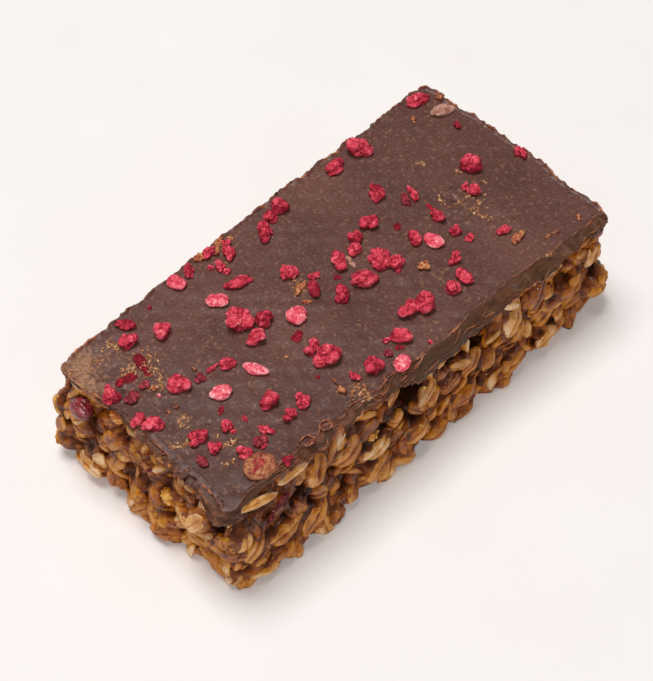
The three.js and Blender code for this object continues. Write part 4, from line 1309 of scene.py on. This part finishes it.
def relief_of(bodies):
    """The relief that bodies round the sides make, as a reach by distance round the bar and height:
    softened in a way that keeps its peaks and fills its valleys, and smoothed widely. It is read from
    points on the faces, at shares of the way along and across each."""
    samples = []
    for _, flat, faces, *_ in bodies:
        for group in faces:
            corners = flat.reshape(-1, 3)[group]
            first, second, third, fourth = (corners[:, i] for i in (0, 1, 2, -1))
            for u in (0.0, 0.33, 0.67):
                near, far = first * (1 - u) + second * u, fourth * (1 - u) + third * u
                samples += [near * (1 - v) + far * v for v in (0.0, 0.33, 0.67)]
    raw = reach_map(np.concatenate(samples), BINDER_LEVELS, BINDER_STEP)
    s, z = np.meshgrid(middles(len(raw)), middles(BINDER_LEVELS, BINDER_STEP), indexing="ij")
    raw = np.maximum(raw, oat_reach(s, z) - 3.4)
    soft = np.log(blurred(np.exp(BINDER_SHARPNESS * raw), 6)) / BINDER_SHARPNESS
    return s, z, soft, blurred(soft, 14)


def sunk(flat, wide):
    """How deep points lie under the widely smoothed relief, from 0 on the humps to 1 in the crevices. The
    oats' colour is darkened by it, as painted shade.
    """
    depth = map_value(wide, flat[..., 0], flat[..., 1], BINDER_STEP) + 0.3 - flat[..., 2]
    return np.clip(depth / DEEP_CREVICE, 0, 1)


def syrup_surface(s, z, soft):
    """The syrup's outer surface: the softened relief, sunk a little so that the flakes stand out of it,
    with deeper valleys here and there and the named cavities."""
    lumpy = ripples(rolled(np.stack([s, z, 0 * s], -1)), 1.6, 31)
    surface = soft - 0.34 + 0.18 * lumpy - 1.2 * gaps_at(s, z)
    for place, radius, depth in CAVITY_PLACES:
        away = np.hypot(s - place[0], z - place[1])
        surface -= depth * smooth_step(1.9 * radius, 0.9 * radius, away)
    return surface


def oat_core(surface, wide, material):
    """The syrup-bound middle: rows of points round the bar at the syrup's reach, closed by caps that shrink
    to the middle."""
    s = np.linspace(0, OUTLINE_LENGTH, CORE_AROUND, endpoint=False)[None]
    z = np.linspace(0.35, CORE_TOP, CORE_ROWS)[:, None] + 0 * s
    s = s + 0 * z
    over_edge = z - by_distance(CHOCOLATE_LOW, s)
    hidden = 0.9 * smooth_step(1.6, 0.0, z) + 1.2 * smooth_step(-0.3, 0.8, over_edge)
    flat = np.stack([s, z, map_value(surface, s, z, BINDER_STEP) - hidden], -1)
    sides = rolled(flat)

    def cap(ring, height, seed):
        places = ring[None, :, :2] * np.array(CORE_CAPS)[:, None, None]
        heights = height + 0.25 * np.clip(ripples(places, 5, seed), 0, 2)
        return np.concatenate([places, heights[..., None]], -1)

    rings = np.concatenate([cap(sides[0], 0.1, 34)[::-1], sides, cap(sides[-1], CORE_TOP, 35)])
    body = np.concatenate([[[0, 0, 0.1]], rings.reshape(-1, 3), [[0, 0, CORE_TOP + 0.1]]])
    caps = np.full(1 + len(CORE_CAPS) * CORE_AROUND, 0.3)
    tags = {
        # The depth tag paints shade into the syrup's crevices; the caps get an even 0.3.
        "depth": 0.85 * np.concatenate([caps, sunk(flat, wide).ravel(), caps]),
        "tone": 0.42 + brighter_at(unrolled(body)),
    }
    faces = ball_faces(len(rings), CORE_AROUND)
    add_piece("oat_core", body, faces, material, replaces=["oat_layer"], tags=tags)


def oats():
    """Flakes and lumps round the sides, the syrup that lies over their lower half, and the husks."""
    bodies = oat_flakes() + [lumps(), husks()]
    s, z, soft, wide = relief_of(bodies[:-1])
    flake_glaze = glazed_oats("rolled_oats_in_syrup", 0.32, OAT_STOPS)
    syrup = glazed_oats("golden_syrup_binder", 0.0, SYRUP_STOPS)
    common = ["oat_flakes_" + kind for kind in OAT_KINDS]
    for name, flat, faces, tags, flat_places in bodies:
        # The depth tag darkens the flakes in the crevices: painted shade.
        tags["depth"] = (0.8 if name in common else 0.4) * sunk(flat, wide)
        material = syrup if name == "oat_lumps" else flake_glaze
        add_piece(name, rolled(flat), faces, material, tags=tags, flat_places=flat_places)
    oat_core(syrup_surface(s, z, soft), wide, syrup)


# ---- Toppings ----
def lying(rows, height_share):
    """Centres, directions and sizes of things that lie on the chocolate, from how they look in the frame:
    pixel, length and width in millimetres, and turn in degrees."""
    pixels, lengths, widths, turns = np.split(np.array(rows, float), [2, 3, 4], 1)
    turns = np.radians(turns)
    spans = []
    for step in (np.hstack([np.cos(turns), -np.sin(turns)]), np.hstack([np.sin(turns), np.cos(turns)])):
        ends = [through_pixels(pixels + way * step, 2, CHOCOLATE_TOP) for way in (1, -1)]
        spans.append((ends[0] - ends[1]) / 2)
    length_mm, width_mm = (
        stretch * PIXELS_PER_MM * size * np.linalg.norm(span, axis=1, keepdims=True)
        for stretch, size, span in zip((1.04, 1.03), (lengths, widths), spans)
    )
    heights = height_share * np.minimum(length_mm, width_mm) + 0.12
    centres = through_pixels(pixels, 2, CHOCOLATE_TOP + 0.4 * heights)
    centres[:, 2:] = chocolate_top(centres[:, :2])[:, None] + 0.34 * heights
    return centres, standing(spans[0]), np.hstack([length_mm, width_mm, heights])


def standing(first):
    """Axes for bodies that stand upright: along each way, across it, and up."""
    first = normalised(first)
    return np.stack([first, np.cross(UPWARD, first), np.broadcast_to(UPWARD, first.shape)], 1)


def crumbs():
    """Each kind of crumb as one piece, lying where its pixel shows it. Returns the common material."""
    made = {}
    for index, (kind, look) in enumerate(CRUMB_LOOKS.items()):
        lobes, spread, height_share, grain, tone, tones = look
        laid = lying(CRUMBS[kind], height_share)
        points, faces, tags = crumb_bodies(*laid, lobes, spread, grain, 201 + 10 * index)
        tags["tone"] = tone + np.random.default_rng(300 + index).normal(0, 0.08, (len(points), 1))
        if tones not in made:
            made[tones] = freeze_dried_fruit("freeze_dried_raspberry_" + kind, tones, 0.4)
        add_piece("raspberry_" + kind, points, faces, made[tones], tags=tags)
    return made[RASPBERRY_TONES]


def raspberry_nodes(material):
    """The larger pieces of raspberry, in the boxes of their nodes. The last is a half, cut side up, with
    its pale core showing and a streak of flesh on it."""
    core = freeze_dried_fruit("freeze_dried_raspberry_core", CORE_TONES, 0.45)
    cluster, half = (material, 9, 1.1, 0.08), (core, 2, 0.15, 0.05)
    kinds = {"piece_1": cluster, "piece_2": cluster, "piece_3": cluster, "half": half}
    for index, (kind, (finish, *look)) in enumerate(kinds.items()):
        name = "raspberry_" + kind
        low, high = (np.array([corner]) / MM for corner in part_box(name))
        middle, size = (low + high) / 2, (high - low) * 1.04
        points, faces, tags = crumb_bodies(middle, np.eye(3)[None], size, *look, 401 + 10 * index, 20, 34)
        tags["tone"] = 0.45
        add_piece(name + "_crumb", points, faces, finish, replaces=[name], tags=tags)
    centre, ways, size = lying([STREAK], 0.6)
    centre[:, 2] = high[0, 2] - 0.5
    points, faces, tags = crumb_bodies(centre, ways, size, 5, 1.0, 0.08, 451)
    tags["tone"] = 0.3
    flesh = freeze_dried_fruit("freeze_dried_raspberry_flesh", FLESH_TONES, 0.45)
    add_piece("raspberry_half_flesh", points, faces, flesh, tags=tags)


def raspberry_among_oats():
    """Bits of raspberry that have soaked up syrup, lying against the oats of the sides."""
    places = seen_on_sides(SUNK_RASPBERRY) + [0, 0, 0.15]
    normals = np.broadcast_to(UPWARD, places.shape)
    length, width, lean = np.array([row[3:] for row in SUNK_RASPBERRY]).T
    ways = np.stack([*facing(normals, np.radians(lean), 0 * lean, 0 * lean), normals], 1)
    sizes = np.stack([length, width, 0 * width + 0.9], 1)
    flat, faces, tags = crumb_bodies(places, ways, sizes, 4, 0.8, 0.06, 461)
    tags["tone"] = 0.35
    material = freeze_dried_fruit("syrup_soaked_raspberry", SOAKED_TONES, 0.5)
    add_piece("raspberry_among_oats", rolled(flat), faces, material, tags=tags)


def dried_berry():
    """The berry in the end: an egg shape with shallow wrinkles that run from end to end."""
    low, high = (np.array(corner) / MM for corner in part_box("dried_berry"))
    grid = (26, 40)
    directions = ball_directions(*grid)
    across = normalised(directions * [1, 0.15, 1])
    wrinkles = 0.07 * ripples(across * 3.2 + directions * 0.8, 1.7, 501)
    wrinkles += 0.03 * ripples(directions * 4, 1.6, 502)
    swell = (0.97 + 0.6 * wrinkles)[:, None]
    points = (low + high) / 2 + BERRY_SHIFT + directions * swell * (high - low) * BERRY_SHARE / 2
    material = dried_berry_skin()
    faces = ball_faces(*grid)
    add_piece("dried_berry_skin", points, faces, material, replaces=["dried_berry"])


def scattered(name, pixels, rng, lengths, widths, material, seed):
    """Small bits lying on the chocolate at pixels, each a low lump of a few dozen faces, its length from a
    range and its width a share of that."""
    length = rng.uniform(*lengths, len(pixels))
    sizes = np.stack([length, length * rng.uniform(*widths, len(pixels)), 0.12 + 0.2 * length], 1)
    rng = np.random.default_rng(seed)
    places = through_pixels(pixels, 2, CHOCOLATE_TOP + 0.05)
    places[:, 2] = chocolate_top(places[:, :2]) + 0.2 * sizes[:, 2]
    turn = rng.uniform(0, math.pi, len(places))
    ways = standing(np.stack([np.cos(turn), np.sin(turn), 0 * turn], 1))
    points, faces, tags = crumb_bodies(places, ways, sizes, 2, 1.0, 0.02, seed + 1, 3, 7)
    tags["tone"] = rng.uniform(0.2, 0.8, (len(places), 1))
    add_piece(name, points, faces, material, tags=tags)


def on_top(pixels):
    """Those of the pixels that show the chocolate's top, inside its edge."""
    return pixels[outline_distance(through_pixels(pixels, 2, CHOCOLATE_TOP))[1] < -0.3]


def golden_flecks():
    """Flecks of caramelised sugar in patches and along a broken line."""
    rng = np.random.default_rng(601)
    pixels = []
    for *middle, half_length, half_width, turn, count in FLECK_PATCHES:
        turn = math.radians(turn)
        ways = np.array([[math.cos(turn), -math.sin(turn)], [math.sin(turn), math.cos(turn)]])
        spread = np.array([half_length, half_width]) * PIXELS_PER_MM
        pixels.append(middle + rng.normal(0, 0.55, (round(FLECK_SHARE * count), 2)) * spread @ ways)
    line = np.array(FLECK_LINE)
    steps = rng.uniform(0, len(line) - 1.001, LINE_FLECKS)
    at = np.floor(steps).astype(int)
    share = (steps - at)[:, None]
    pixels.append(line[at] * (1 - share) + line[at + 1] * share + rng.normal(0, 0.7, (LINE_FLECKS, 2)))
    material = freeze_dried_fruit("caramelised_sugar_flecks", CARAMEL_TONES, 0.5)
    pixels = on_top(np.concatenate(pixels))
    scattered("golden_flecks", pixels, rng, (0.3, 1.0), (0.2, 0.6), material, 611)


def cocoa_dust():
    """Pale specks of cocoa, thinly all over the top."""
    rng = np.random.default_rng(641)
    pixels = on_top(rng.uniform(*TOP_PIXELS, (DUST_TRIES, 2)))[:DUST_SPECKS]
    material = freeze_dried_fruit("cocoa_dust", COCOA_TONES, 0.5)
    scattered("cocoa_dust", pixels, rng, (0.12, 0.36), (0.4, 0.85), material, 621)


# ---- The bar ----
CHOCOLATE_EDGES = chocolate_edges()
CHOCOLATE_LOW = CHOCOLATE_EDGES[-1]
oat_points = unrolled(frame_samples("oat_layer", 2))
OAT_REACH = np.maximum(blurred(filled(reach_map(oat_points, MAP_LEVELS, MAP_STEP)), 3), LEDGE_REACH)
OAT_REACH = np.maximum(OAT_REACH + swollen(*OAT_REACH.shape), DEEPEST_REACH)
CAVITY_PLACES = [(place, *row[3:]) for place, row in zip(seen_on_sides(CAVITIES), CAVITIES)]

add_stage()
edges = chocolate_layer(*CHOCOLATE_EDGES)
oats()
burr = chocolate_burr()
chocolate_burrs(edges, burr)
chocolate_shreds(edges, burr)
chocolate_curls(burr)
chocolate_shavings(burr)
raspberry_nodes(crumbs())
raspberry_among_oats()
dried_berry()
golden_flecks()
cocoa_dust()
